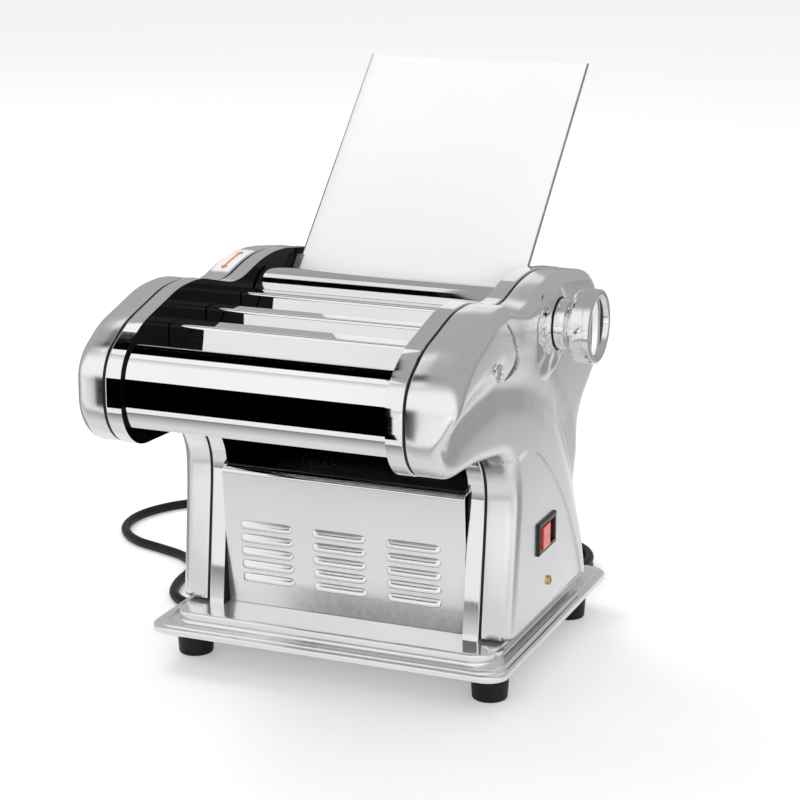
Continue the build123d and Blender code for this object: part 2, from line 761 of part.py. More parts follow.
def adjust_cam():
    """The cam disc and the shaft that carries the knob."""
    disc = prism(Pos(*knob_axis) * (Circle(cam_radius) - cam_slot()), cam_in, cam_out)
    return disc + rod(cam_out, knob_face_x - knob_dish - 2, *knob_axis, knob_shaft_radius)


def thickness_knob():
    """A flared knob with a dished face and a grip bar across the dish."""
    base_x = boss_face + knob_gap
    flare_x = base_x + 7.5
    rim_x = knob_face_x - knob_rim_width
    profile = [
        (base_x, knob_shaft_radius + fit), (base_x, collar_radius), (flare_x, collar_radius),
        (flare_x + 1.5, collar_radius + 1.5), (rim_x, knob_radius - 1.5), (rim_x + 2, knob_radius),
        (knob_face_x - 1.5, knob_radius), (knob_face_x, knob_radius - 1.5),
        (knob_face_x, knob_radius - 4), (knob_face_x - knob_dish, knob_radius - 5.5),
        (knob_face_x - knob_dish, 0), (knob_face_x - knob_dish - 2, 0),
        (knob_face_x - knob_dish - 2, knob_shaft_radius + fit),
    ]
    knob = Pos(0, *knob_axis) * revolve(Plane.XY * polygon(profile), Axis.X)
    bar_x = knob_face_x - knob_dish / 2
    bar = Pos(bar_x, *knob_axis) * Box(knob_dish, 5.0, 2 * (knob_radius - 5.8))
    return knob + bar


def dial_ring():
    """A thin ring round the boss that carries the dial's numbers."""
    ring = rod(boss_face, boss_face + dial_thick, *knob_axis, collar_radius + 0.8)
    return ring - rod(boss_face - 1, boss_face + 1, *knob_axis, knob_shaft_radius + 1)


def detent_spring():
    """A leaf spring whose nose steps over the cam's rim."""
    foot_y, foot_z = on_circle(*knob_axis, cam_radius + 4.5, 60)
    tip_y, tip_z = on_circle(*knob_axis, cam_radius + seam, 60)
    foot = rod(frame_out, cam_out, foot_y, foot_z, 2.0)
    middle = Pos((cam_in + cam_out) / 2, (foot_y + tip_y) / 2, (foot_z + tip_z) / 2)
    blade = middle * Rot(60, 0, 0) * Box(cam_thick, cam_radius * 0.33, 1.0)
    return foot + blade


# ---- covers between the frames ----
def between_frames(face):
    half = frame_in - seam
    return prism(face, -half, half)


def cover_band():
    """A band of sheet that runs round inside the frame's outline."""
    return inset_outline(cover_inset) - inset_outline(cover_inset + sheet)


def front_cover():
    """The rounded nose cover, bent down into the first feed slot at its top."""
    reach = 120
    top = on_circle(nose_y, nose_z, reach, nose_open)
    side = on_circle(nose_y, nose_z, 2 * reach, 180)
    low = on_circle(nose_y, nose_z, reach, nose_close)
    band = cover_band() & polygon([(nose_y, nose_z), top, side, low])
    lip = on_circle(nose_y, nose_z, nose_radius - 10.5, nose_open)
    foot = (nips["wide"] - feed_gap - sheet, feed_foot_z)
    return between_frames(band + strip([lip, foot], -sheet))


def feed_plate(name, following):
    """The rear wall of one feed slot, a narrow deck and the front wall of the next slot."""
    wall = nips[name] + feed_gap
    deck_end = wall + deck_widths[name]
    path = [(wall, feed_foot_z), (wall, deck_z), (deck_end, deck_z)]
    if following:
        path.append((nips[following] - feed_gap - sheet, feed_foot_z))
    else:
        path.append((deck_end - 3, deck_z - 8))
    return between_frames(strip(path, -sheet))


def rear_cover():
    """The back: it follows the frames from behind the baffle round the back and down to the base."""
    far = tray_depth
    keep = polygon([
        (back_y, back_z + far), (back_y + far, back_z + far), (back_y + far, plateau_z + seam),
        (0, plateau_z + seam), (0, back_z - 20), (back_y, back_z - 20),
    ])
    back = between_frames(cover_band() & keep)
    return back - gland_place() * Cylinder(gland_radius + seam, 20)


def louver_panel():
    """The leaning front panel with its rolled top edge and three columns of vents."""
    top_y, top_z = panel_top
    path = [(panel_foot_y, plateau_z + 0.2), (top_y, top_z), (top_y + 9, top_z + 0.4)]
    panel = between_frames(strip(path, -sheet))
    for column in louver_columns:
        for row in range(louver_rows):
            z = louver_top_z - row * louver_pitch
            slot = Plane.XZ * SlotOverall(louver_length, louver_height)
            panel -= Pos(column, -60, z) * extrude(slot, 30, both=True)
    return panel


def dust_screen():
    """A fine screen close behind the vents."""
    foot_y = panel_foot_y + sheet + seam
    rise = (panel_top[0] - panel_foot_y) / (panel_top[1] - plateau_z)
    low, high = louver_top_z - louver_rows * louver_pitch - 2, louver_top_z + 8
    path = [(foot_y + rise * (low - plateau_z), low), (foot_y + rise * (high - plateau_z), high)]
    return prism(strip(path, -0.6), -frame_in + 3, frame_in - 3)


def noodle_chute():
    """The dark sloping plate under the rollers that sends sheets and noodles to the front."""
    y0, z0 = chute_front
    y1 = chute_end_y
    z1 = z0 + (y1 - y0) * sin(radians(chute_slope)) / cos(radians(chute_slope))
    return between_frames(strip([(y0, z0), (y1, z1)], -1.2))


# ---- baffle ----
def baffle_section(thick, start, length, lift=0.0):
    """A slab along the baffle's 45 degree plane."""
    slab = Pos(start + length / 2, lift) * Rectangle(length, thick)
    return Pos(*baffle_foot) * Rot(0, 0, 45) * slab


def dough_baffle():
    half = frame_in - baffle_gap
    return prism(baffle_section(baffle_thick, 0, baffle_length), -half, half)


def baffle_rails():
    """Two channels on the frames that hold the baffle's lower corners."""
    rails = []
    outer = baffle_section(baffle_thick + 2 * (rail_wall + seam), rail_start, rail_length)
    groove = baffle_section(baffle_thick + 2 * seam, rail_start - 1, rail_length + 2)
    half = frame_in - baffle_gap
    channel = prism(outer, half - 3, frame_in)
    channel -= prism(groove, half - 4, half + seam)
    rails.append(channel)
    rails.append(mirror(channel, Plane.YZ))
    return Compound(children=rails)


# ---- motor bay ----
def motor_housing():
    can = rod(motor_left_x, motor_left_x + motor_length, motor_y, motor_z, motor_radius)
    can = fillet(can.edges(), 3)
    can += rod(motor_left_x - 4, motor_left_x, motor_y, motor_z, 9)
    return can


def gearbox():
    """A spur gearbox between the motor and the right frame."""
    x0 = motor_left_x + motor_length
    section = make_hull(
        (circle_at(motor_y, motor_z, motor_radius - 2) + circle_at(*output_axis, output_radius)).edges())
    body = prism(section, x0, frame_in)
    return body - rod(x0 + 6, frame_in + 1, *output_axis, 5.0 + run)


def motor_cradle():
    block = box(motor_left_x + 8, motor_left_x + motor_length - 12, motor_y - 24, motor_y + 24,
                plateau_z, motor_z - 14)
    return block - rod(motor_left_x, motor_left_x + motor_length, motor_y, motor_z, motor_radius + fit)


def start_capacitor():
    can = box(-frame_in + 3, -frame_in + 25, motor_y - 22, motor_y + 20, plateau_z, plateau_z + 50)
    return fillet(can.edges().filter_by(Axis.Z), 3)


def terminal_block():
    block = box(-72, -30, 26, 40, plateau_z, plateau_z + 12)
    for i in range(3):
        block -= Pos(-64 + i * 13, 33, plateau_z + 12) * Cylinder(3, 8)
    return block


# ---- switch ----
def switch_housing():
    face = right_face - arch_step
    length, height = bezel_size
    y0, y1 = switch_y - length / 2, switch_y + length / 2
    z0, z1 = switch_z - height / 2, switch_z + height / 2
    bezel = chamfer(box(face, face + 2, y0, y1, z0, z1).faces().sort_by(Axis.X)[-1].edges(), 0.8)
    lip = bezel_lip + seam
    body = box(face - 15, face, y0 + lip, y1 - lip, z0 + lip, z1 - lip)
    half_y, half_z = rocker_size[0] / 2 + 2 * seam, rocker_size[1] / 2 + seam
    cavity = box(face - 13, face + 3, switch_y - half_y, switch_y + half_y,
                 switch_z - half_z, switch_z + half_z)
    pivot = Pos(face + rocker_pivot, switch_y, switch_z) * Cylinder(1.5 + run, rocker_size[1] + 4)
    return bezel + body - cavity - pivot


def rocker_button():
    """A two-faced rocker, pressed in at its front half."""
    length, height = rocker_size
    drop = (length / 2) * sin(radians(rocker_throw / 2)) / cos(radians(rocker_throw / 2))
    ridge = 3.0
    points = [
        (ridge, 0), (ridge - drop, length / 2), (ridge - 11, length / 2 - 3),
        (ridge - 11, -length / 2 + 3), (ridge - drop, -length / 2),
    ]
    face = polygon([(x - rocker_pivot, y) for x, y in points])
    body = extrude(Plane.XY * face, height / 2, both=True)
    body += Cylinder(1.5, height + 3)
    place = Pos(right_face - arch_step + rocker_pivot, switch_y, switch_z)
    return place * Rot(0, 0, rocker_throw / 2) * body


# ---- label ----
def arrow_label():
    """A thin label with an arrow, on the slope of the left cover's hump."""
    (y0, z0), (y1, z1) = [corner[:2] for corner in frame_corners[8:10]]
    slope = atan2(z1 - z0, y1 - y0)
    middle = Pos((y0 + y1) / 2 + label_shift, (z0 + z1) / 2) * Rot(0, 0, degrees(slope))
    skin = inset_outline(shell_inset - fit - label_thick) - inset_outline(shell_inset - fit)
    return prism(skin & middle * Rectangle(label_length, 30), -shell_in - 2 - label_width, -shell_in - 2)


# ---- mains lead ----
def gland_place():
    """The lead's hole in the sloping back cover; Z points out of the machine."""
    y, z = frame_corners[-1][:2]
    lean = atan2(leg_rear - y, z - plateau_z)
    wall_y = leg_rear - (gland_z - plateau_z) * sin(lean) / cos(lean) - cover_inset / cos(lean)
    return Pos(gland_x, wall_y, gland_z) * Rot(degrees(lean) - 90, 0, 0)


def cord_gland():
    """The strain relief: a nut inside the cover, a collar outside it and a tapered sleeve."""
    collar = 3.0
    nut = Pos(0, 0, -sheet - collar / 2) * Cylinder(gland_radius + 2.5, collar)
    neck = Pos(0, 0, -sheet / 2) * Cylinder(gland_radius, sheet)
    ring = Pos(0, 0, collar / 2) * Cylinder(gland_radius + 2, collar)
    sleeve = Pos(0, 0, (collar + gland_length) / 2) * Cone(
        gland_radius - 0.5, cord_radius + 0.8, gland_length - collar)
    return gland_place() * (nut + neck + ring + sleeve)


def power_cord():
    """A round lead along straight runs joined by tangent arcs."""
    exits = [(gland_place() * Pos(0, 0, gland_length + reach)).position for reach in (0, cord_exit)]
    points = exits + [Vector(*p) for p in cord_route]
    radii = []
    for before, at, after in zip(points, points[1:], points[2:]):
        turn = radians((at - before).get_angle(after - at))
        radii.append(0.45 * min((at - before).length, (after - at).length) / (sin(turn / 2) / cos(turn / 2)))
    print("cord radii", [round(r) for r in radii])
    path = FilletPolyline(*points, radius=radii)
    section = Plane(origin=path @ 0, z_dir=path % 0) * Circle(cord_radius)
    tube = sweep(section, path=path)
    print("cord volume ratio", round(tube.volume / (pi * cord_radius**2 * path.length), 4),
          "length", round(path.length))
    return tube


def coil_centre():
    end = cord_route[-1]
    return end[0], end[1] + coil_outer_turn


def cord_coil():
    """The outer shape of the wound-up rest of the lead."""
    x, y = coil_centre()
    tall = 2 * cord_radius * coil_layers
    half = cord_radius * coil_rings
    ring = Cylinder(coil_mid_radius + half, tall) - Cylinder(coil_mid_radius - half, tall)
    return Pos(x, y, tall / 2) * ring


def plug_places():
    x, y = coil_centre()
    return x - 6, y + coil_outer_turn, plug_size[1] / 2


def plug():
    x, y, z = plug_places()
    length, tall, wide = plug_size
    sleeve = Pos(x - 16, y, z) * Rot(0, -90, 0) * Cone(cord_radius + 1, 6.5, 32)
    body = Pos(x - 32 - length / 2, y, z) * Box(length, wide, tall)
    body = fillet(body.edges().filter_by(Axis.X), 6)
    return sleeve + body


def plug_pins():
    x, y, z = plug_places()
    root = x - 32 - plug_size[0]
    pins = [Pos(root - 9, y, z - 5) * Box(18, 1.5, 6.4)]
    for side in (-1, 1):
        pins.append(Pos(root - 9, y + side * 8, z + 3) * Rot(side * 30, 0, 0) * Box(18, 1.5, 6.4))
    return Compound(children=pins)


def build():
    os.makedirs("parts", exist_ok=True)
    write("base_tray", base_tray())
    write("rubber_feet", rubber_feet())
    write("foot_screws", foot_screws())
    write("left_frame", side_frame(False))
    write("right_frame", side_frame(True))
    write("tie_rods", tie_rods())
    write("left_shell", left_shell())
    write("right_shell", right_shell())
    write("shell_screws", shell_screws())
    write("front_cover", front_cover())
    write("wide_feed_plate", feed_plate("wide", "flat"))
    write("flat_feed_plate", feed_plate("flat", "thin"))
    write("thin_feed_plate", feed_plate("thin", None))
    write("rear_cover", rear_cover())
    write("louver_panel", louver_panel())
    write("dust_screen", dust_screen())
    write("noodle_chute", noodle_chute())
    write("fixed_roller", fixed_roller())
    write("roller_drive_gears", roller_drive_gears())
    write("fixed_sync_gear", sync_gear(phases["sync fixed"], fixed_axis))
    write("adjust_roller", adjust_roller())
    write("adjust_sync_gear", sync_gear(phases["sync adjust"], knob_axis))
    write("roller_carriage", roller_carriage())
    write("adjust_cam", adjust_cam())
    write("thickness_knob", thickness_knob())
    write("dial_ring", dial_ring())
    write("detent_spring", detent_spring())
    for name in noodle_widths:
        write(f"{name}_cutter_front", cutter(name, False))
        write(f"{name}_cutter_rear", cutter(name, True))
    write("bearing_bushes", bearing_bushes())
    write("cutter_combs", cutter_combs())
    write("sheet_scraper", sheet_scraper())
    for name, (teeth, axis) in idlers.items():
        write(f"{name}_idler_gear", gear(
            teeth, phases["idler " + name], idler_axle, gear_in, gear_out, axis))
    write("drive_idler_gear", gear(
        roller_teeth, phases["drive"], idler_axle, drive_in, drive_out, drive_axis))
    write("idler_axles", idler_axles())
    write("motor_output", motor_output())
    write("motor_housing", motor_housing())
    write("gearbox", gearbox())
    write("motor_cradle", motor_cradle())
    write("start_capacitor", start_capacitor())
    write("terminal_block", terminal_block())
    write("switch_housing", switch_housing())
    write("rocker_button", rocker_button())
    write("arrow_label", arrow_label())
    write("dough_baffle", dough_baffle())
    write("baffle_rails", baffle_rails())
    write("cord_gland", cord_gland())
    write("power_cord", power_cord())
    write("cord_coil", cord_coil())
    write("plug", plug())
    write("plug_pins", plug_pins())


build()
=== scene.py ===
"""Looks of the electric pasta maker: studio, materials and finely shaped sheet-metal pieces."""
import json
from math import atan2, ceil, cos, degrees, hypot, pi, radians, sin, sqrt, tan

import bpy
import numpy as np
from mathutils import Matrix, Vector
from mathutils.geometry import delaunay_2d_cdt


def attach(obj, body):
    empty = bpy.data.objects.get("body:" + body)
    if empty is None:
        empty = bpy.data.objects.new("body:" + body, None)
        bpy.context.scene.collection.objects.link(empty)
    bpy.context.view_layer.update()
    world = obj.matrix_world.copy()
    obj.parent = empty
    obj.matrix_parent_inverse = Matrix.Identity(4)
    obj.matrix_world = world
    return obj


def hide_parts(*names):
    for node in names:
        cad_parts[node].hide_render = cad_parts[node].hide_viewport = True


MM = 0.001
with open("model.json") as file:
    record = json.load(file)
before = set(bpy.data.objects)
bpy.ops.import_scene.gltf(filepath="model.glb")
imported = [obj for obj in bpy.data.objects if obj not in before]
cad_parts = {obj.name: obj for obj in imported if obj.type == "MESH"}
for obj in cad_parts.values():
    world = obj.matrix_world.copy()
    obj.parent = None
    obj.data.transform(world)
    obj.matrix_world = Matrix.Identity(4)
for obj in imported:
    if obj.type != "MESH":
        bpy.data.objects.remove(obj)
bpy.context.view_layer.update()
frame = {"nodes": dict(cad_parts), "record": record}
nodes = frame["nodes"]
slot_of = {p["node"]: p["material_slot"] for p in frame["record"]["subparts"]}
scene = bpy.context.scene

# ---- sizes that several pieces share, in millimetres: X to the right, Y to the back, Z up ----
TRAY_TOP = 35.0
FOOT_FRONT, FOOT_BACK = -77.5, 79.0  # the frames' feet, where they meet the tray
FOOT_Z = 37.5  # lower edge of the covers
FRAME_CORNERS = [  # (Y, Z, radius) from the front of the foot over the head to the back
    (-68.5, 118.0, 150.0), (-67.0, 160.5, 38.0), (-140.0, 172.5, 120.0), (-205.5, 175.0, 32.0),
    (-205.0, 232.0, 28.0), (-176.0, 249.5, 60.0), (-128.0, 262.0, 80.0), (-100.0, 262.5, 80.0),
    (-48.0, 249.0, 60.0), (5.0, 262.5, 140.0), (90.0, 248.5, 38.0), (112.0, 190.0, 26.0),
    (53.0, 155.0, 24.0), (59.0, 100.0, 150.0),
]
SHEET = 1.4  # thickness of the polished sheets and the tray
SHEET_INSET = 3.0  # how far the sheets lie inside the frames' outline
INSIDE_HALF = 85.2  # half the width between the frames
SEAM_X = (96.3, 97.7)  # the black strip between a frame and its cover
COVER_START, COVER_OUT = 97.8, 120.0  # a cover's inner edge and its side
KNOB_AXIS = (-5.0, 231.0)
CAP_SCREW = (-126.0, 226.5)

# ---- camera, in metres ----
CAMERA_PLACE, CAMERA_TARGET = (0.5517, -1.3133, 0.5489), (0.01035, 0.0, 0.16725)
FOCAL_LENGTH, SENSOR_WIDTH = 98.87, 36.0


def look_at(obj, target):
    obj.rotation_euler = (Vector(target) - obj.location).to_track_quat("-Z", "Y").to_euler()


camera = bpy.data.objects.new("camera", bpy.data.cameras.new("camera"))
scene.collection.objects.link(camera)
camera.location = CAMERA_PLACE
look_at(camera, CAMERA_TARGET)
camera.data.lens = FOCAL_LENGTH
camera.data.sensor_width = SENSOR_WIDTH
scene.camera = camera


# ---- mesh helpers, in millimetres ----
def mesh_object(name, verts, faces, material=None, angle=30.0):
    """A smooth-shaded mesh with sharp edges kept above an angle."""
    mesh = bpy.data.meshes.new(name)
    mesh.from_pydata([(x * MM, y * MM, z * MM) for x, y, z in verts], [], faces)
    mesh.update()
    mesh.shade_smooth()
    mesh.set_sharp_from_angle(angle=radians(angle))
    obj = bpy.data.objects.new(name, mesh)
    scene.collection.objects.link(obj)
    if material:
        mesh.materials.append(material)
    return obj


def stack(rings, first=0):
    """The points of all rings, and each ring as a range of their numbers from first on."""
    points, numbers = [], []
    for ring in rings:
        start = first + len(points)
        numbers.append(range(start, start + len(ring)))
        points += ring
    return points, numbers


def skin(rings, closed=True, flip=False):
    """Quads that join each ring of point numbers to the next; flip turns them over."""
    faces = []
    for a, b in zip(rings, rings[1:]):
        count = len(a)
        for k in range(count if closed else count - 1):
            m = (k + 1) % count
            faces.append((a[k], b[k], b[m], a[m]) if flip else (a[k], a[m], b[m], b[k]))
    return faces


def facing(faces, side):
    """The faces, turned over for a piece mirrored to the left side."""
    return faces if side > 0 else [face[::-1] for face in faces]


def circle(radius, count, centre=(0.0, 0.0)):
    """Points of a circle as pairs."""
    return [(centre[0] + radius * cos(2 * pi * k / count), centre[1] + radius * sin(2 * pi * k / count))
            for k in range(count)]


def bevel(obj, width):
    mod = obj.modifiers.new("bevel", "BEVEL")
    mod.width = width * MM
    mod.segments = 2
    mod.limit_method = "ANGLE"
    mod.angle_limit = radians(35)
    mod.harden_normals = True


def flat_faces(obj):
    """Let the large faces keep their own direction beside small rounded ones."""
    mod = obj.modifiers.new("flat_faces", "WEIGHTED_NORMAL")
    mod.keep_sharp = True
    return obj


def solidify(obj, thickness):
    mod = obj.modifiers.new("sheet", "SOLIDIFY")
    mod.thickness = thickness * MM
    mod.offset = -1.0
    mod.use_even_offset = True
    return obj


def rounded_path(points, radii, step=5.0):
    """A path with a tangent arc at each inner corner, one point every few degrees."""
    path = [points[0]]
    for i in range(1, len(points) - 1):
        (ax, ay), (bx, by), (cx, cy) = points[i - 1], points[i], points[i + 1]
        d0 = hypot(bx - ax, by - ay)
        d1 = hypot(cx - bx, cy - by)
        u0 = ((bx - ax) / d0, (by - ay) / d0)
        u1 = ((cx - bx) / d1, (cy - by) / d1)
        turn = atan2(u0[0] * u1[1] - u0[1] * u1[0], u0[0] * u1[0] + u0[1] * u1[1])
        radius = radii[i - 1]
        if abs(turn) < 1e-4 or radius <= 0:
            path.append((bx, by))
            continue
        side = 1 if turn > 0 else -1
        reach = radius * tan(abs(turn) / 2)
        sx, sy = bx - u0[0] * reach, by - u0[1] * reach
        mx, my = sx - u0[1] * radius * side, sy + u0[0] * radius * side
        count = max(2, ceil(degrees(abs(turn)) / step))
        first = atan2(sy - my, sx - mx)
        for k in range(count + 1):
            a = first + turn * k / count
            path.append((mx + radius * cos(a), my + radius * sin(a)))
    path.append(points[-1])
    return path


def normals_of(path):
    """Unit normals to the left of a path, averaged at each point."""
    found = []
    for i in range(len(path)):
        a, b = path[max(i - 1, 0)], path[min(i + 1, len(path) - 1)]
        length = hypot(b[0] - a[0], b[1] - a[1]) or 1.0
        found.append((-(b[1] - a[1]) / length, (b[0] - a[0]) / length))
    return found


def shifted(path, amount):
    """The path moved sideways to its left."""
    return [(y + ny * amount, z + nz * amount) for (y, z), (ny, nz) in zip(path, normals_of(path))]


def dense(line, step=1.2):
    """The line with points at most one step apart."""
    found = []
    for a, b in zip(line, line[1:]):
        count = max(1, ceil(hypot(b[0] - a[0], b[1] - a[1]) / step))
        found += [(a[0] + (b[0] - a[0]) * k / count, a[1] + (b[1] - a[1]) * k / count)
                  for k in range(count)]
    return found + [line[-1]]


def fade(value, start, width):
    """A smooth change from 0 at start to 1 a width further on, downwards if width is negative."""
    u = np.clip((value - start) / width, 0, 1)
    return u * u * (3 - 2 * u)


def sheet_faces(count):
    """Faces of a straight sheet whose two end sections have count points on each side."""
    loop = 2 * count
    faces = [(i, (i + 1) % loop, loop + (i + 1) % loop, loop + i) for i in range(loop)]
    for k in range(count - 1):
        quad = (k, k + 1, loop - 2 - k, loop - 1 - k)
        faces.append(quad[::-1])
        faces.append(tuple(loop + q for q in quad))
    return faces


def lathe(name, profile, centre, material, segments=96):
    """A profile of (X, radius) turned about an axis along X at a centre in (Y, Z)."""
    verts, rings = stack([[(x, y, z) for y, z in circle(r, segments, centre)] for x, r in profile])
    return mesh_object(name, verts, skin(rings), material)


# ---- materials ----
looks = {}  # the finishes by name; the slot of a node has the name of its finish


def rgba(color):
    """A colour with its alpha, from (red, green, blue) or from one grey value."""
    return (*color, 1) if isinstance(color, tuple) else (color, color, color, 1)


def put(node, **values):
    """Set a node's inputs by name, with _ for a space."""
    for key, value in values.items():
        node.inputs[key.replace("_", " ")].default_value = value
    return node


def new_material(name):
    mat = bpy.data.materials.new(name)
    mat.use_nodes = True
    return mat, mat.node_tree


def finish(name, dark, light, rough, metallic=0.0, scale=60.0, stretch=(1, 1, 1), grain=900.0,
           bump=0.03, blotch=(0.35, 0.65), **values):
    """A surface with soft colour variation, uneven gloss and a fine relief."""
    mat, tree = new_material(name)
    new, link = tree.nodes.new, tree.links.new
    shader = put(tree.nodes["Principled BSDF"], Metallic=metallic, **values)
    where = new("ShaderNodeTexCoord")
    lie = put(new("ShaderNodeMapping"), Scale=stretch)
    cloud = put(new("ShaderNodeTexNoise"), Scale=scale, Detail=5.0)
    ramp = new("ShaderNodeValToRGB")
    for stop, place, color in zip(ramp.color_ramp.elements, blotch, (dark, light)):
        stop.position = place
        stop.color = rgba(color)
    fine = put(new("ShaderNodeTexNoise"), Scale=grain, Detail=3.0)
    gloss = put(new("ShaderNodeMapRange"), From_Min=0.3, From_Max=0.7, To_Min=rough[0], To_Max=rough[1])
    relief = put(new("ShaderNodeBump"), Strength=bump, Distance=0.0002)
    link(where.outputs["Object"], lie.inputs["Vector"])
    link(lie.outputs["Vector"], cloud.inputs["Vector"])
    link(cloud.outputs["Fac"], ramp.inputs["Fac"])
    link(ramp.outputs["Color"], shader.inputs["Base Color"])
    link(lie.outputs["Vector"], fine.inputs["Vector"])
    link(fine.outputs["Fac"], gloss.inputs["Value"])
    link(gloss.outputs["Result"], shader.inputs["Roughness"])
    link(fine.outputs["Fac"], relief.inputs["Height"])
    link(relief.outputs["Normal"], shader.inputs["Normal"])
    looks[name] = mat
    return mat


# finishes that the scene's own pieces use; some are on solid pieces too
mirror_steel = finish("mirror_steel", 0.86, 0.91, (0.012, 0.030), 1.0, scale=7, grain=500, bump=0.002)
# painted reflection: the frames' polished inner faces are coloured near black for the dark interior they
# reflect
painted_dark_reflection = finish("painted_dark_reflection", 0.001, 0.003, (0.06, 0.12), scale=14, grain=600,
                      bump=0.004, Specular_IOR_Level=0.03)
satin_shell = finish("satin_shell", 0.86, 0.90, (0.21, 0.26), 1.0, scale=18, grain=1800, bump=0.006)
# painted shade: a darker copy of the shell's satin that stands for the shade in the crescent notch
notch_painted_shade = finish("notch_painted_shade", 0.34, 0.40, (0.24, 0.30), 1.0, scale=18, grain=1800, bump=0.006)
chrome = finish("chrome", 0.80, 0.88, (0.02, 0.06), 1.0, scale=30, grain=700, bump=0.004)
# painted shade: a dark copy of the chrome for the floor of the knob's dish
dish_painted_shade = finish("dish_painted_shade", 0.10, 0.16, (0.08, 0.16), 1.0, scale=40, bump=0.01)
panel_steel = finish("panel_steel", 0.86, 0.91, (0.16, 0.22), 0.85, scale=6, grain=300, bump=0.002)
tray_steel = finish("tray_steel", 0.84, 0.89, (0.10, 0.16), 0.75, scale=6, bump=0.004)
bush_brass = finish("bush_brass", (0.62, 0.42, 0.16), (0.76, 0.55, 0.24), (0.22, 0.36), 1.0, scale=90)
black_plastic = finish("black_plastic", 0.008, 0.016, (0.30, 0.42), scale=120, bump=0.10,
                       Specular_IOR_Level=0.35)
gloss_black = finish("gloss_black", 0.006, 0.012, (0.08, 0.14), scale=120, bump=0.02)
black_rubber = finish("black_rubber", 0.004, 0.010, (0.34, 0.48), scale=150, bump=0.14,
                      Specular_IOR_Level=0.30)
# painted shade: the chute under the head is coloured near black for the shade inside the machine
chute_painted_shade = finish("chute_painted_shade", 0.03, 0.06, (0.10, 0.22), 1.0, scale=15, bump=0.02)
baffle_pale = finish("baffle_pale", 0.93, 0.97, (0.18, 0.28), scale=5, bump=0.01)
baffle_edge = finish("baffle_edge", 0.36, 0.48, (0.12, 0.22), 0.8, scale=20, bump=0.01)
label_orange = finish("label_orange", (0.80, 0.20, 0.02), (0.90, 0.27, 0.04), (0.35, 0.45), scale=300)

# finishes of solid pieces alone
finish("frame_polish", 0.84, 0.90, (0.03, 0.06), 1.0, scale=14, grain=600, bump=0.003)
finish("roller_steel", 0.74, 0.84, (0.04, 0.09), 1.0, scale=30, stretch=(0.15, 1, 1), bump=0.01)
finish("gear_nylon", (0.80, 0.79, 0.74), (0.88, 0.87, 0.82), (0.40, 0.55), scale=80, bump=0.1)
finish("screw_steel", 0.60, 0.74, (0.12, 0.28), 1.0, scale=200, bump=0.05)
finish("screen_grey", 0.16, 0.45, (0.35, 0.5), 0.6, scale=900, blotch=(0.45, 0.55))
finish("motor_paint", (0.05, 0.055, 0.06), (0.09, 0.10, 0.11), (0.35, 0.5), 0.3, scale=60)
finish("capacitor_white", 0.70, 0.80, (0.35, 0.5), scale=50)
finish("switch_red", (0.80, 0.04, 0.03), (0.92, 0.10, 0.07), (0.06, 0.12), scale=150, Coat_Weight=0.6,
       Coat_Roughness=0.04)
finish("label_white", 0.90, 0.94, (0.30, 0.40), scale=120, bump=0.02)
finish("pin_brass", (0.70, 0.52, 0.25), (0.80, 0.62, 0.32), (0.15, 0.28), 1.0, scale=200)

# ---- mains lead: the same route as the solid one ----
LEAD_RADIUS = 3.5
GLAND_X, GLAND_Z = -50.0, 46.0
GLAND_LEAN = atan2(FOOT_BACK - FRAME_CORNERS[-1][0], FRAME_CORNERS[-1][1] - TRAY_TOP)
GLAND_WALL_Y = FOOT_BACK - (GLAND_Z - TRAY_TOP) * tan(GLAND_LEAN) - SHEET_INSET / cos(GLAND_LEAN)


def gland_point(reach):
    """A point on the gland's axis, which stands square to the leaning rear cover."""
    return (GLAND_X, GLAND_WALL_Y + reach * cos(GLAND_LEAN), GLAND_Z + reach * sin(GLAND_LEAN))


lead_route = [
    gland_point(36), gland_point(56),
    (-52, 147, 60), (-57, 165, 49), (-65, 180, 32), (-77, 193, 16),
    (-95, 206, 6.5), (-120, 217, 3.5), (-153, 226, 3.5), (-190, 228, 3.5), (-227, 219, 3.5),
    (-262, 197, 3.5), (-281, 160, 3.5), (-277, 124, 3.5), (-254, 99, 3.5), (-224, 90, 3.5),
    (-196, 80, 3.5), (-179, 56, 3.5), (-177, 27, 3.5), (-167, 0, 3.5), (-142, -14, 3.5),
    (-113, -11, 3.5), (-91, 9, 3.5), (-75, 38, 3.5), (-58, 67, 3.5), (-36, 92, 3.5),
    (-10, 110, 3.5), (20, 119.5, 3.5), (50, 120.5, 3.5),
]
LEAD_END = (38.0, 205.5, 10.8)  # inside the plug's sleeve
COIL_CENTRE = (50.0, 163.0)
COIL_TURNS, POINTS_PER_TURN = 3.5, 20
OUTER_TURN, INNER_TURN = 42.5, 35.5  # radii of the turns that lie side by side
LOW_LAYER, HIGH_LAYER = LEAD_RADIUS, 3 * LEAD_RADIUS
COIL_ROWS = [(OUTER_TURN, LOW_LAYER), (INNER_TURN, LOW_LAYER), (INNER_TURN, HIGH_LAYER),
             (OUTER_TURN, HIGH_LAYER)]
ROW_HUMPS = [(0.0, 0.0), (-2.5, 2.0), (0.0, 1.6), (0.0, 0.0)]  # (inwards, up) on the way to the next row
CHANGE = 0.20  # the share of a turn where it changes to the next row


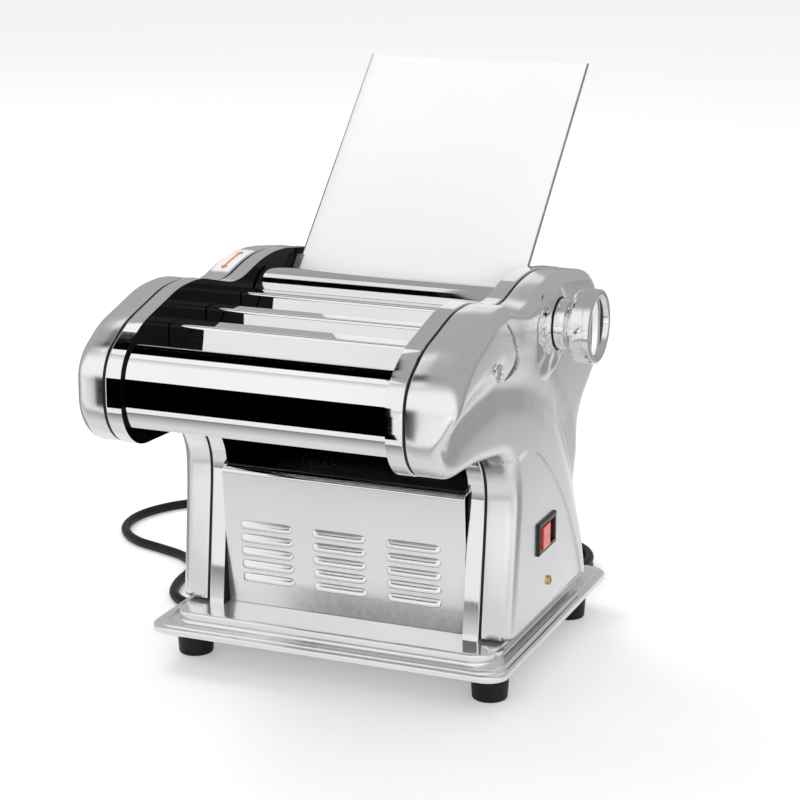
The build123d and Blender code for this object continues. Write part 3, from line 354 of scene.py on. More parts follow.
def coil_points():
    """Turns side by side and on each other; each changes place in the same short stretch."""
    last_row = len(COIL_ROWS) - 1
    found = []
    for k in range(1, int(COIL_TURNS * POINTS_PER_TURN) + 1):
        turn = (k - 0.001) / POINTS_PER_TURN
        row = int(turn)
        shift = fade(turn - row, 1 - CHANGE, CHANGE) if row < last_row else 0.0
        hump = sin(pi * shift)
        (radius, height), (next_radius, next_height) = COIL_ROWS[row], COIL_ROWS[min(row + 1, last_row)]
        radius += (next_radius - radius) * shift + ROW_HUMPS[row][0] * hump
        height += (next_height - height) * shift + ROW_HUMPS[row][1] * hump
        radius /= cos(pi / POINTS_PER_TURN)
        angle = radians(-90 + 360 * k / POINTS_PER_TURN)
        found.append((COIL_CENTRE[0] + radius * cos(angle), COIL_CENTRE[1] + radius * sin(angle), height))
    return found


def lead_curve():
    curve = bpy.data.curves.new("mains_lead", "CURVE")
    curve.dimensions = "3D"
    curve.bevel_depth = LEAD_RADIUS * MM
    curve.bevel_resolution = 6
    curve.resolution_u = 10
    curve.use_fill_caps = True
    points = lead_route + coil_points() + [LEAD_END]
    spline = curve.splines.new("NURBS")
    spline.points.add(len(points) - 1)
    for point, (x, y, z) in zip(spline.points, points):
        point.co = (x * MM, y * MM, z * MM, 1.0)
    spline.order_u = 3
    spline.use_endpoint_u = True
    obj = bpy.data.objects.new("mains_lead", curve)
    scene.collection.objects.link(obj)
    curve.materials.append(black_rubber)
    return obj


PLUG_START, PLUG_AXIS = 44.0, (205.5, 11.0)  # the sleeve's end in X, and the axis in (Y, Z)
PLUG_RIBS, PLUG_RIB_PITCH = 7, 4


def plug_sections():
    """(reach, half width, half height, squareness) from the sleeve to the face with the pins."""
    found = [(0, 4.5, 4.5, 2), (2, 5.0, 5.0, 2)]
    for k in range(PLUG_RIBS):
        a = 4 + k * PLUG_RIB_PITCH
        crest, groove, shoulder = 5.0 + k * 0.22, 4.3 + k * 0.25, 5.1 + k * 0.24
        found += [(a, crest, crest, 2), (a + 1.2, groove, groove, 2),
                  (a + 2.2, groove, groove, 2), (a + 3.2, shoulder, shoulder, 2)]
    return found + [
        (33, 7.5, 7.5, 2.2), (35, 10.0, 9.0, 2.6), (38, 12.5, 10.0, 3.2), (44, 12.8, 9.2, 3.6),
        (50, 14.5, 9.8, 3.8), (56, 16.6, 10.8, 4), (59, 17.0, 11.0, 4), (61.2, 16.6, 10.6, 4),
        (62, 15.6, 9.8, 4), (62, 6.0, 4.0, 3), (62, 0.01, 0.01, 2)]


def mains_plug(count=64):
    """A moulded plug with a ribbed sleeve and a waisted grip."""
    rings = []
    for reach, half_y, half_z, power in plug_sections():
        ring = []
        for c, s in circle(1.0, count):
            r = (abs(c) ** power + abs(s) ** power) ** (-1.0 / power)
            ring.append((PLUG_START - reach, PLUG_AXIS[0] + half_y * r * c, PLUG_AXIS[1] + half_z * r * s))
        rings.append(ring)
    verts, rings = stack(rings)
    return mesh_object("mains_plug", verts, skin(rings), black_plastic, 40)


RELIEF_RIBS, RELIEF_RIB_PITCH, RELIEF_END = 6, 5.0, 36.0


def strain_relief():
    """The collar and the slotted, tapering sleeve round the lead's exit."""
    profile = [(0, 9.0), (2.4, 9.0), (3.0, 8.2), (3.0, 6.6)]
    for k in range(RELIEF_RIBS):
        a = 4.0 + k * RELIEF_RIB_PITCH
        r = 6.5 - 0.36 * k
        profile += [(a, r), (a + 2.6, r - 0.15), (a + 3.0, r - 1.0), (a + 4.2, r - 1.05),
                    (a + 4.6, r - 0.3)]
    profile += [(RELIEF_END - 1.0, 4.4), (RELIEF_END, 4.2), (RELIEF_END, LEAD_RADIUS)]
    obj = lathe("strain_relief", profile, (0, 0), black_rubber, 48)
    along_y = Matrix.Rotation(pi / 2, 4, "Z")
    lean = Matrix.Rotation(GLAND_LEAN, 4, "X")
    place = Matrix.Translation(Vector((GLAND_X, GLAND_WALL_Y, GLAND_Z)) * MM)
    obj.data.transform(place @ lean @ along_y)
    return obj


lead, plug, relief = lead_curve(), mains_plug(), strain_relief()
for obj, *replaced in ((lead, "power_cord", "cord_coil"), (plug, "plug"), (relief, "cord_gland")):
    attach(obj, "chassis")
    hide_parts(*replaced)


# ---- the outline that the frames and covers share ----
def shared_outline():
    """The outline in (Y, Z) from the front of the foot over the head to the back of the foot."""
    corners = [(y, z) for y, z, r in FRAME_CORNERS]
    first, last = corners[0], corners[-1]
    start = (FOOT_FRONT + (first[0] - FOOT_FRONT) * (FOOT_Z - TRAY_TOP) / (first[1] - TRAY_TOP), FOOT_Z)
    end = (FOOT_BACK + (last[0] - FOOT_BACK) * (FOOT_Z - TRAY_TOP) / (last[1] - TRAY_TOP), FOOT_Z)
    raw = rounded_path([start] + corners + [end], [r for y, z, r in FRAME_CORNERS], step=2.5)
    return dense(raw, 4.0)


OUTLINE = shared_outline()
OUTLINE_NORMALS = [(-ny, -nz) for ny, nz in normals_of(OUTLINE)]


def ring_at(inset):
    """The shared outline drawn in by an amount."""
    ring = [(y + ny * inset, z + nz * inset) for (y, z), (ny, nz) in zip(OUTLINE, OUTLINE_NORMALS)]
    ring[0] = (ring[0][0], FOOT_Z)
    ring[-1] = (ring[-1][0], FOOT_Z)
    return ring


def to_polyline(y, z, line):
    """Distance to a polyline, positive to its left, for arrays of points."""
    best = np.full(y.shape, 1e9)
    side = np.ones(y.shape)
    for (ay, az), (by, bz) in zip(line, line[1:]):
        dy, dz = by - ay, bz - az
        t = np.clip(((y - ay) * dy + (z - az) * dz) / (dy * dy + dz * dz), 0, 1)
        away = np.hypot(y - ay - t * dy, z - az - t * dz)
        cross = dy * (z - az) - dz * (y - ay)
        near = away < best
        side = np.where(near, np.where(cross >= 0, 1.0, -1.0), side)
        best = np.where(near, away, best)
    return best * side


def inside_loop(y, z, loop):
    """Which of the points lie inside a closed loop."""
    found = np.zeros(y.shape, bool)
    for (ay, az), (by, bz) in zip(loop, list(loop[1:]) + [loop[0]]):
        if az == bz:
            continue
        crosses = (az > z) != (bz > z)
        found ^= crosses & (y < (by - ay) * (z - az) / (bz - az) + ay)
    return found


CREASE_HALF = 0.35  # the two rows of points along a crease stand this far from it
CREASE_CLEAR = 0.9  # no other point comes nearer to it


def filled(boundary, holes, step, extra=()):
    """Triangles that fill a loop with a grid of points, leaving the holes open; extra are creases."""
    ys, zs = np.array(boundary).T
    gy, gz = np.meshgrid(np.arange(ys.min(), ys.max(), step), np.arange(zs.min(), zs.max(), step))
    gy = gy + (np.arange(gy.shape[0]) % 2)[:, None] * step / 2
    y, z = gy.ravel(), gz.ravel()
    loops = [list(boundary)] + [list(h) for h in holes]
    keep = inside_loop(y, z, loops[0])
    for loop in loops:
        keep &= np.abs(to_polyline(y, z, loop + [loop[0]])) > step * 0.55
    for line in extra:
        keep &= np.abs(to_polyline(y, z, line)) > CREASE_CLEAR
    points, edges = [], []
    for loop in loops:
        first = len(points)
        points += loop
        edges += [(first + k, first + (k + 1) % len(loop)) for k in range(len(loop))]
    points += list(zip(y[keep], z[keep]))
    for line in extra:
        points += shifted(dense(line), -CREASE_HALF) + shifted(dense(line), CREASE_HALF)
    flat, _, faces, _, _, _ = delaunay_2d_cdt([Vector(p) for p in points], edges, [], 1, 1e-5)
    verts = [(v.x, v.y) for v in flat]
    cy = np.array([sum(verts[i][0] for i in f) / len(f) for f in faces])
    cz = np.array([sum(verts[i][1] for i in f) / len(f) for f in faces])
    wanted = np.ones(len(faces), bool)
    for hole in loops[1:]:
        wanted &= ~inside_loop(cy, cz, hole)
    return verts, [tuple(f) for f, w in zip(faces, wanted) if w]


# ---- outer covers ----
COVER_SHEET = 2.2
COVER_INSET = 0.4  # how far a cover's wall lies inside the frames' outline
EDGE_RADIUS = 9.0  # the round edge between its wall and its side
COVER_GRID = 2.2


def cover_shell(name, side, height, holes, extra, material):
    """A cover: a wall that follows the outline, a round edge and a modelled side face."""
    verts, rings = [], []

    def add_ring(inset, x_of):
        ring = ring_at(inset)
        y, z = np.array(ring).T
        rings.append(range(len(verts), len(verts) + len(ring)))
        verts.extend(zip(x_of(y, z), y, z))
        return ring

    for inset, out in ((COVER_INSET + 0.9, 0.0), (COVER_INSET + 0.2, 0.2), (COVER_INSET, 0.8)):
        add_ring(inset, lambda y, z: np.full(y.shape, COVER_START + out))
    add_ring(COVER_INSET, lambda y, z: (COVER_START + height(y, z) - EDGE_RADIUS) / 2)
    steps = 10
    for k in range(steps + 1):
        a = pi / 2 * k / steps
        last = add_ring(COVER_INSET + EDGE_RADIUS * (1 - cos(a)),
                        lambda y, z: height(y, z) - EDGE_RADIUS * (1 - sin(a)))
    faces = skin(rings, closed=False, flip=True)
    flat, fill = filled(last, holes, COVER_GRID, extra)
    ring_index = {(round(y, 3), round(z, 3)): index for index, (y, z) in zip(rings[-1], last)}
    y, z = np.array(flat).T
    x = height(y, z)
    place = []
    for i, point in enumerate(flat):
        known = ring_index.get((round(point[0], 3), round(point[1], 3)))
        if known is None:
            known = len(verts)
            verts.append((x[i], y[i], z[i]))
        place.append(known)
    for face in fill:
        a, b, c = [place[i] for i in face]
        if a != b and b != c and a != c:
            faces.append((a, b, c))
    verts = [(side * vx, vy, vz) for vx, vy, vz in verts]
    return mesh_object(name, verts, facing(faces, side), material, 42)


# lines of the right cover's side: the long valley under the nose, the ridge down its back,
# and the crescent notch in front of the knob
VALLEY = [
    (-215, 186), (-198, 196), (-190, 200.5), (-181, 205), (-167, 208), (-143, 211), (-111, 212.5),
    (-88, 207), (-69, 203), (-55.5, 199.7), (-39, 193), (-15.5, 181.6), (6, 168.6), (22, 154),
    (35, 135), (45.5, 117.5), (56, 92), (66, 62), (74, 30),
]
FLANK = [(-50, 262), (-30, 232), (-14, 208), (-2, 196), (11, 181), (21, 167), (31, 153), (44, 132.5),
         (56, 111), (70, 80), (86, 30)]
NOTCH_OUTER = [(-110, 254), (-100, 248), (-90, 240.5), (-79, 230), (-75, 222), (-79.5, 217), (-95, 213.5)]
NOTCH_INNER = [(-110, 254), (-97.5, 244), (-91, 236), (-87, 227.5), (-90, 221), (-95, 213.5)]
NOTCH = NOTCH_OUTER + NOTCH_INNER[::-1]


def arch_line():
    """A circle's arc through the top, the middle and the foot of the recessed side panel."""
    (ax, ay), (bx, by), (cx, cy) = (-36.0, 153.0), (12.0, 116.5), (66.0, 33.5)
    d = 2 * (ax * (by - cy) + bx * (cy - ay) + cx * (ay - by))
    ux = ((ax**2 + ay**2) * (by - cy) + (bx**2 + by**2) * (cy - ay) + (cx**2 + cy**2) * (ay - by)) / d
    uy = ((ax**2 + ay**2) * (cx - bx) + (bx**2 + by**2) * (ax - cx) + (cx**2 + cy**2) * (bx - ax)) / d
    r = hypot(ax - ux, ay - uy)
    first, last = atan2(ay - uy, ax - ux), atan2(cy - uy, cx - ux)
    count = 40
    turns = [first + (last - first) * k / count for k in range(count + 1)]
    return [(-100.0, 158.0), (-60.0, 157.0)] + [(ux + r * cos(a), uy + r * sin(a)) for a in turns]


ARCH = arch_line()
ARCH_CREASE = [(-56.0, 156.4)] + ARCH[2:]
NOSE_SWELL, NOSE_SWELL_START, NOSE_SWELL_LENGTH = 10.0, -44.0, 161.0
VALLEY_BLEND, VALLEY_DEPTH, VALLEY_WIDTH = 24.0, 2.8, 9.5
FLANK_LEAN, FLANK_REACH, FLANK_BLEND = 0.13, 60, 14
FLANK_EASE = 0.85  # the share of the lean that is lost towards the head
GROOVE_DEPTH, GROOVE_PLACE, GROOVE_WIDTH = 0.8, -5, 5.0
ARCH_STEP, NOTCH_DEPTH = 1.5, 3.2
KNOB_SWELL, KNOB_SWELL_RADIUS, KNOB_SWELL_BLEND = 2.2, 27, 8


def right_height(y, z):
    """How far out the right cover stands at each point of its side."""
    valley = to_polyline(y, z, VALLEY)
    swell = NOSE_SWELL * np.clip((NOSE_SWELL_START - y) / NOSE_SWELL_LENGTH, 0, 1.02)
    x = COVER_OUT + swell * fade(valley, 0, VALLEY_BLEND)
    dip = np.exp(-(valley / VALLEY_WIDTH) ** 2)
    x = x - VALLEY_DEPTH * dip * fade(z, 50, 60) * fade(y, -210, 30)
    flank = to_polyline(y, z, FLANK)
    lean = FLANK_LEAN * (1 - FLANK_EASE * fade(z, 110, 60))
    x = x - lean * np.clip(flank - 1, 0, FLANK_REACH) * fade(flank, 0, FLANK_BLEND)
    groove = np.exp(-((flank - GROOVE_PLACE) / GROOVE_WIDTH) ** 2)
    x = x - GROOVE_DEPTH * (groove * fade(z, 60, 50) * fade(z, 225, -20))
    arch = to_polyline(y, z, ARCH)
    x = x - ARCH_STEP * fade(arch, CREASE_HALF, -2 * CREASE_HALF)
    outer = np.abs(to_polyline(y, z, NOTCH_OUTER))
    inner = np.abs(to_polyline(y, z, NOTCH_INNER))
    slope = NOTCH_DEPTH * fade(inner / (inner + outer + 1e-6), 0, 1)
    x = x - np.where(inside_loop(y, z, NOTCH), slope, 0.0)
    reach = np.hypot(y - KNOB_AXIS[0], z - KNOB_AXIS[1])
    return x + KNOB_SWELL * fade(reach, KNOB_SWELL_RADIUS, -KNOB_SWELL_BLEND)


LEFT_CROWN, LEFT_MIDDLE, LEFT_HALF = 1.6, (-60, 190), (160, 120)


def left_height(y, z):
    """The left cover's side is a slightly domed plate."""
    away = np.hypot((y - LEFT_MIDDLE[0]) / LEFT_HALF[0], (z - LEFT_MIDDLE[1]) / LEFT_HALF[1])
    return COVER_OUT - LEFT_CROWN * fade(away, 0, 1)


SWITCH_HOLE = [(-27.0, 82.0), (3.0, 82.0), (3.0, 100.0), (-27.0, 100.0)]
right_cover = cover_shell("right_cover", 1, right_height, [SWITCH_HOLE], [ARCH_CREASE, NOTCH_OUTER],
                          satin_shell)
left_cover = cover_shell("left_cover", -1, left_height, [], [], satin_shell)
for obj, node in ((right_cover, "right_shell"), (left_cover, "left_shell")):
    solidify(obj, COVER_SHEET)
    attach(obj, "chassis")
    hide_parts(node)

# the faces inside the crescent notch get the darker satin, painted shade in the recess
right_cover.data.materials.append(notch_painted_shade)
for face in right_cover.data.polygons:
    middle = np.array([[face.center.y], [face.center.z]]) / MM
    if inside_loop(*middle, NOTCH)[0]:
        face.material_index = 1

CAP_RADIUS, CAP_DOME, CAP_RIM = 5.7, 1.1, 0.5
CROSS_REACH, CROSS_HALF, CROSS_DEPTH = 3.4, 0.85, 1.3


def screw_cap(name, side, base):
    """A domed cap with a cross recess over the screw on the nose of a cover."""
    rows, count = [], 96
    steps = 24
    for j in range(steps + 1):
        r = CAP_RADIUS * j / steps
        row = []
        for k in range(count):
            a = 2 * pi * k / count
            u, v = r * cos(a + 0.5), r * sin(a + 0.5)
            dome = CAP_DOME * (1 - (r / CAP_RADIUS) ** 2) + CAP_RIM * min(1.0, (CAP_RADIUS - r) / 0.7)
            arm = max(0.0, 1 - max(abs(u), abs(v)) / CROSS_REACH)
            slit = max(0.0, 1 - min(abs(u), abs(v)) / CROSS_HALF)
            cross = CROSS_DEPTH * min(1.0, 3 * arm) * min(1.0, 2.2 * slit)
            row.append((side * (base + dome - cross), CAP_SCREW[0] + r * cos(a), CAP_SCREW[1] + r * sin(a)))
        rows.append(row)
    verts, rings = stack(rows)
    obj = mesh_object(name, verts, facing(skin(rings), side), chrome, 40)
    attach(obj, "chassis")


screw_cap("right_screw_cap", 1, 126.0)
screw_cap("left_screw_cap", -1, 120.7)

GASKET_INSET, GASKET_REACH = 0.8, 5.0  # its outer face and its hidden inner edge, inside the outline


def gasket(name, side):
    """The black strip in the seam between a frame and its cover."""
    section = ((SEAM_X[0], GASKET_REACH), (SEAM_X[0], GASKET_INSET), (SEAM_X[1], GASKET_INSET),
               (SEAM_X[1], GASKET_REACH))
    verts, rings = stack([[(side * x, y, z) for y, z in ring_at(inset)] for x, inset in section])
    faces = facing(skin(rings, closed=False, flip=True), side)
    obj = mesh_object(name, verts, faces, black_rubber)
    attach(obj, "chassis")


gasket("right_gasket", 1)
gasket("left_gasket", -1)


# ---- base tray ----
TRAY_HALF, TRAY_CORNER = (125.0, 113.5), 14.0
FLANGE_Z = 27.0
BEAD_INSET, BEAD_HALF, BEAD_RISE = 5.85, 2.3, 1.6
FOOT_PLACE = (105.5, 80)


def rounded_rectangle(half_x, half_y, radius=TRAY_CORNER, arc=10):
    loop = []
    for cx, cy, first in ((1, 1, 0), (-1, 1, 90), (-1, -1, 180), (1, -1, 270)):
        for k in range(arc + 1):
            a = radians(first + 90 * k / arc)
            loop.append((cx * (half_x - radius) + radius * cos(a),
                         cy * (half_y - radius) + radius * sin(a)))
    return loop


def pressed_tray():
    """The turned-down lip, the rolled bead and the raised plateau in one profile of (inset, Z)."""
    profile = [(0.5, 22.5), (0.0, 22.9), (0.0, 25.6), (0.15, 26.3), (0.6, 26.8), (1.2, FLANGE_Z),
               (2.6, FLANGE_Z)]
    for k in range(13):
        a = pi * k / 12
        profile.append((BEAD_INSET - BEAD_HALF * cos(a), FLANGE_Z + BEAD_RISE * sin(a)))
    profile += [(10.2, FLANGE_Z), (11.4, 27.1), (12.2, 27.5), (12.7, 28.2), (12.95, 29.2), (13.0, 30.0),
                (13.0, 33.4), (13.12, 34.1), (13.45, 34.6), (13.95, 34.92), (14.6, TRAY_TOP),
                (17.0, TRAY_TOP)]
    half_x, half_y = TRAY_HALF
    verts, rings = stack([[(x, y, z) for x, y in rounded_rectangle(half_x - inset, half_y - inset)]
                          for inset, z in profile])
    obj = mesh_object("tray", verts, skin(rings) + [tuple(rings[-1])], tray_steel, 45)
    return solidify(obj, SHEET)


def foot_bosses():
    """Under the tray, the four bosses that the rubber feet are screwed to."""
    verts, faces = [], []
    for sx, sy in ((-1, -1), (-1, 1), (1, -1), (1, 1)):
        centre = (sx * FOOT_PLACE[0], sy * FOOT_PLACE[1])
        rows = [[(x, y, z) for x, y in circle(r, 40, centre)]
                for z, r in ((33.4, 9.0), (25.6, 9.0), (25.5, 8.9), (25.5, 2.1), (33.4, 2.1))]
        points, rings = stack(rows, len(verts))
        verts += points
        faces += skin(rings, flip=True)
    return mesh_object("tray_bosses", verts, faces, tray_steel)


tray = pressed_tray()
bosses = foot_bosses()
for obj in (tray, bosses):
    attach(obj, "chassis")
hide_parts("base_tray")


# ---- sheet-metal covers between the frames ----
NOSE_MIDDLE = (-165.0, 212.0)
NOSE_ANGLES = (129, 215)  # from the ridge at the top to the lower edge, about that point
NOSE_RIDGE = (-149.2, 218.4)
SLOT_FOOT_Z, DECK_Z = 216.0, 242.0
DECKS = (  # name, Y of its front wall and its crest, foot of its slope
    ("wide", -143.0, -127.0, (-100.7, SLOT_FOOT_Z)),
    ("flat", -93.0, -81.0, (-54.5, SLOT_FOOT_Z)),
    ("thin", -43.0, -26.0, (-29.0, 234.0)),
)
REAR_FOOT = (75.9, 35.4)


def on_nose(y, z):
    angle = degrees(atan2(z - NOSE_MIDDLE[1], y - NOSE_MIDDLE[0])) % 360
    return y < -120 and NOSE_ANGLES[0] < angle < NOSE_ANGLES[1]


def polished_sheet(name, path, round_edge=0.35):
    """A bent sheet under a path in (Y, Z), from one frame to the other."""
    loop = list(path) + shifted(path, -SHEET)[::-1]
    verts = [(x, y, z) for x in (-INSIDE_HALF, INSIDE_HALF) for y, z in loop]
    obj = mesh_object(name, verts, sheet_faces(len(path)), mirror_steel)
    if round_edge:
        bevel(obj, round_edge)
    return flat_faces(obj)


nose_path = [p for p in ring_at(SHEET_INSET) if on_nose(*p)]
nose_path = nose_path[:-1] + rounded_path([nose_path[-2], nose_path[-1], NOSE_RIDGE], [1.2])
front_cover = polished_sheet("nose_cover", nose_path)
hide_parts("front_cover")
sheets = [front_cover]
for name, wall, crest, foot in DECKS:
    path = rounded_path([(wall, SLOT_FOOT_Z), (wall, DECK_Z), (crest, DECK_Z), foot], [2.2, 2.6], 8)
    plate = polished_sheet(name + "_deck", path)
    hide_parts(name + "_feed_plate")
    sheets.append(plate)
rear_wall = [p for p in ring_at(SHEET_INSET) if p[0] > 54 and (p[1] < 200 or p[0] >= 68)]
top_lip = (rear_wall[0][0] - 1.0, rear_wall[0][1] - 6.0)
rear_path = rounded_path([top_lip, rear_wall[0], rear_wall[3]], [1.5]) + rear_wall[4:] + [REAR_FOOT]
back_cover = polished_sheet("back_cover", rear_path)
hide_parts("rear_cover")
sheets.append(back_cover)

# ---- louvred front panel ----
PANEL_FOOT, PANEL_TOP = (-68.0, 35.2), (-76.0, 131.0)
PANEL_LENGTH = hypot(PANEL_TOP[0] - PANEL_FOOT[0], PANEL_TOP[1] - PANEL_FOOT[1])
PANEL_UP = ((PANEL_TOP[0] - PANEL_FOOT[0]) / PANEL_LENGTH, (PANEL_TOP[1] - PANEL_FOOT[1]) / PANEL_LENGTH)
PANEL_BACK = (-67.0, 131.4)  # end of the rolled top edge
ROLL_LENGTH = 4.0  # where the flat face ends below the top
COLUMNS = (-55.0, -3.0, 49.5)
TOP_ROW_Z, ROW_PITCH, ROW_COUNT = 92.0, 9.4, 5
ROWS = [(TOP_ROW_Z - ROW_PITCH * k - PANEL_FOOT[1]) / PANEL_UP[1] for k in range(ROW_COUNT)]
SLOT_LENGTH, SLOT_HEIGHT = 36.5, 3.6
HOOD_HALF, HOOD_RISE, HOOD_TOP, HOOD_DEPTH = 19.0, 2.5, 3.1, 5.6
HOOD_SHEET = 0.5


def on_panel(x, s, out=0.0):
    """A point on the leaning panel, s up its slope and out towards the front."""
    return (x, PANEL_FOOT[0] + PANEL_UP[0] * s - PANEL_UP[1] * out,
            PANEL_FOOT[1] + PANEL_UP[1] * s + PANEL_UP[0] * out)


def stadium(cx, cs, length, height, arc=8):
    """A slot with round ends."""
    loop = []
    half, r = length / 2 - height / 2, height / 2
    for side, first in ((1, -90), (-1, 90)):
        for k in range(arc + 1):
            a = radians(first + 180 * k / arc)
            loop.append((cx + side * half + r * cos(a), cs + r * sin(a)))
    return loop


def louver_face():
    """The flat panel with a slot behind each hood."""
    top = PANEL_LENGTH - ROLL_LENGTH
    corners = [(-INSIDE_HALF, 0.0), (INSIDE_HALF, 0.0), (INSIDE_HALF, top), (-INSIDE_HALF, top)]
    edge = []
    for a, b in zip(corners, corners[1:] + corners[:1]):
        edge += dense([a, b], 4.0)[:-1]
    slots = [stadium(cx, cs, SLOT_LENGTH, SLOT_HEIGHT) for cx in COLUMNS for cs in ROWS]
    flat, faces = filled(edge, slots, 6.0)
    obj = mesh_object("louver_face", [on_panel(x, s) for x, s in flat], faces, panel_steel, 40)
    obj.data.shade_flat()
    return solidify(obj, SHEET)


def hood_point(cx, cs, u, v):
    """A point of one hood, u from -1 to 1 along it and v from 0 at its top to 1 at its open edge."""
    u = u * (1 - 0.12 * (1 - u * u))
    fullness = sqrt(max(0.0, 1 - abs(u) ** 9))
    s = cs + (HOOD_TOP - HOOD_DEPTH * v) * (0.45 + 0.55 * fullness)
    out = HOOD_RISE * fullness * sin(min(v * 1.18, 1.0) * pi / 2) - 0.05
    return on_panel(cx + u * HOOD_HALF, s, out)


def louver_hoods(along=40, across=8):
    """Long pressed hoods that rise from the panel and open at their lower edge."""
    verts, faces = [], []
    for cx in COLUMNS:
        for cs in ROWS:
            rows = [[hood_point(cx, cs, -1 + 2 * i / along, j / across) for j in range(across + 1)]
                    for i in range(along + 1)]
            points, rings = stack(rows, len(verts))
            verts += points
            faces += skin(rings, closed=False)
    return solidify(mesh_object("louver_hoods", verts, faces, panel_steel, 60), HOOD_SHEET)


hood_face = louver_face()
hoods = louver_hoods()
roll = rounded_path([on_panel(0, PANEL_LENGTH - ROLL_LENGTH)[1:], PANEL_TOP, PANEL_BACK], [3.4], 8)
panel_roll = polished_sheet("louver_roll", roll, 0)
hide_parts("louver_panel")
sheets += [hood_face, hoods, panel_roll]
for obj in sheets:
    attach(obj, "chassis")

# ---- dough baffle ----
BAFFLE_FOOT, BAFFLE_LENGTH = (28.5, 231.0), 205.0
BAFFLE_HALF, BAFFLE_SHEET, FLANGE_HALF = 82.4, 0.8, 1.4
RAIL_START, RAIL_END = 8.0, 26.0  # how far up the slope the rails show
RAIL_INNER, RAIL_OUTER, RAIL_HALF, RAIL_SHEET = 79.6, 85.4, 3.2, 1.0
FOLD_RADIUS = 0.9


def sloped_sheet(name, path, thick, first, last, material):
    """A folded sheet that runs up the baffle's 45 degree slope; its section is in (X, lift)."""
    c = sqrt(0.5)
    verts = []
    for reach in (first, last):
        verts += [(x, BAFFLE_FOOT[0] + reach * c - lift * c, BAFFLE_FOOT[1] + reach * c + lift * c)
                  for x, lift in path + shifted(path, thick)[::-1]]
    return mesh_object(name, verts, sheet_faces(len(path)), material)


baffle_path = rounded_path([(BAFFLE_HALF, FLANGE_HALF), (BAFFLE_HALF, -FLANGE_HALF),
                            (-BAFFLE_HALF, -FLANGE_HALF), (-BAFFLE_HALF, FLANGE_HALF)],
                           [FOLD_RADIUS, FOLD_RADIUS], 15)
baffle = sloped_sheet("baffle_sheet", baffle_path, -BAFFLE_SHEET, 0.0, BAFFLE_LENGTH, baffle_pale)
baffle.data.materials.append(baffle_edge)
for face in baffle.data.polygons:
    if abs(face.center.x) > (BAFFLE_HALF - 0.5) * MM:
        face.material_index = 1
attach(baffle, "baffle")
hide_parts("dough_baffle")
for name, side in (("right_rail", 1), ("left_rail", -1)):
    corners = ((RAIL_INNER, RAIL_HALF), (RAIL_OUTER, RAIL_HALF), (RAIL_OUTER, -RAIL_HALF),
               (RAIL_INNER, -RAIL_HALF))
    channel = rounded_path([(side * x, lift) for x, lift in corners], [FOLD_RADIUS, FOLD_RADIUS], 15)
    rail = sloped_sheet(name, channel, -RAIL_SHEET * side, RAIL_START, RAIL_END, panel_steel)
    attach(rail, "chassis")
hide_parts("baffle_rails")

# ---- thickness knob ----
DISH_X, DISH_RADIUS = 145.9, 18.8  # the floor of the knob's dish, painted dark for the shade in the recess
GRIP_HALF_LENGTH = 18.0


def knob_profile():
    """(X, radius) of the grooved collar, the flare, the rim and the dish."""
    profile = [(123.5, 6.1), (123.5, 15.6), (123.7, 16.2), (124.3, 16.5), (127.0, 16.5), (127.3, 16.2),
               (127.7, 16.2), (128.0, 16.5), (130.6, 16.5)]
    for k in range(9):
        a = k / 8
        profile.append((130.8 + 5.6 * a, 16.7 + 6.3 * (1 - cos(a * pi)) / 2))
    profile += [(136.9, 23.5), (137.6, 23.9), (138.6, 24.0), (144.6, 24.0), (144.9, 23.7), (145.3, 23.7),
                (145.6, 24.0), (148.4, 24.0), (149.3, 23.75), (149.85, 23.1), (150.0, 22.3), (150.0, 20.4),
                (149.8, 19.9), (149.3, 19.5), (146.6, 18.7), (146.2, 18.4), (146.0, 17.9), (146.0, 0.01)]
    return profile


def grip_bar(steps=24):
    """The raised grip across the knob's dish, waisted in plan."""
    rows = []
    for k in range(steps + 1):
        u = -1 + 2 * k / steps
        half = 3.3 - 1.1 * cos(u * pi / 2)
        crest = 149.6 - 1.2 * u**4
        section = [(DISH_X, -half - 0.8), (crest - 1.0, -half), (crest - 0.2, -half + 0.5),
                   (crest, -half + 1.1), (crest, half - 1.1), (crest - 0.2, half - 0.5),
                   (crest - 1.0, half), (DISH_X, half + 0.8)]
        rows.append([(x, KNOB_AXIS[0] + y, KNOB_AXIS[1] + u * GRIP_HALF_LENGTH) for x, y in section])
    verts, rings = stack(rows)
    ends = [tuple(rings[0])[::-1], tuple(rings[-1])]
    return mesh_object("knob_grip", verts, skin(rings, closed=False) + ends, chrome, 50)


knob = lathe("knob_shell", knob_profile(), KNOB_AXIS, chrome, 128)
# the dish floor gets the dark chrome, painted shade in the recess
knob.data.materials.append(dish_painted_shade)
for face in knob.data.polygons:
    out = hypot(face.center.y / MM - KNOB_AXIS[0], face.center.z / MM - KNOB_AXIS[1])
    if face.center.x > DISH_X * MM and out < DISH_RADIUS:
        face.material_index = 1
grip = grip_bar()
for obj in (knob, grip):
    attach(obj, "knob")
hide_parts("thickness_knob")

BOSS_RADIUS, BOSS_SPREAD = 17.4, 11.0  # round the collar, and how much wider its foot is
BOSS_SHIFT = (-10.5, -6.5)  # the foot lies in front of the axis and below it
BOSS_X, BOSS_RISE = 118.2, 5.0


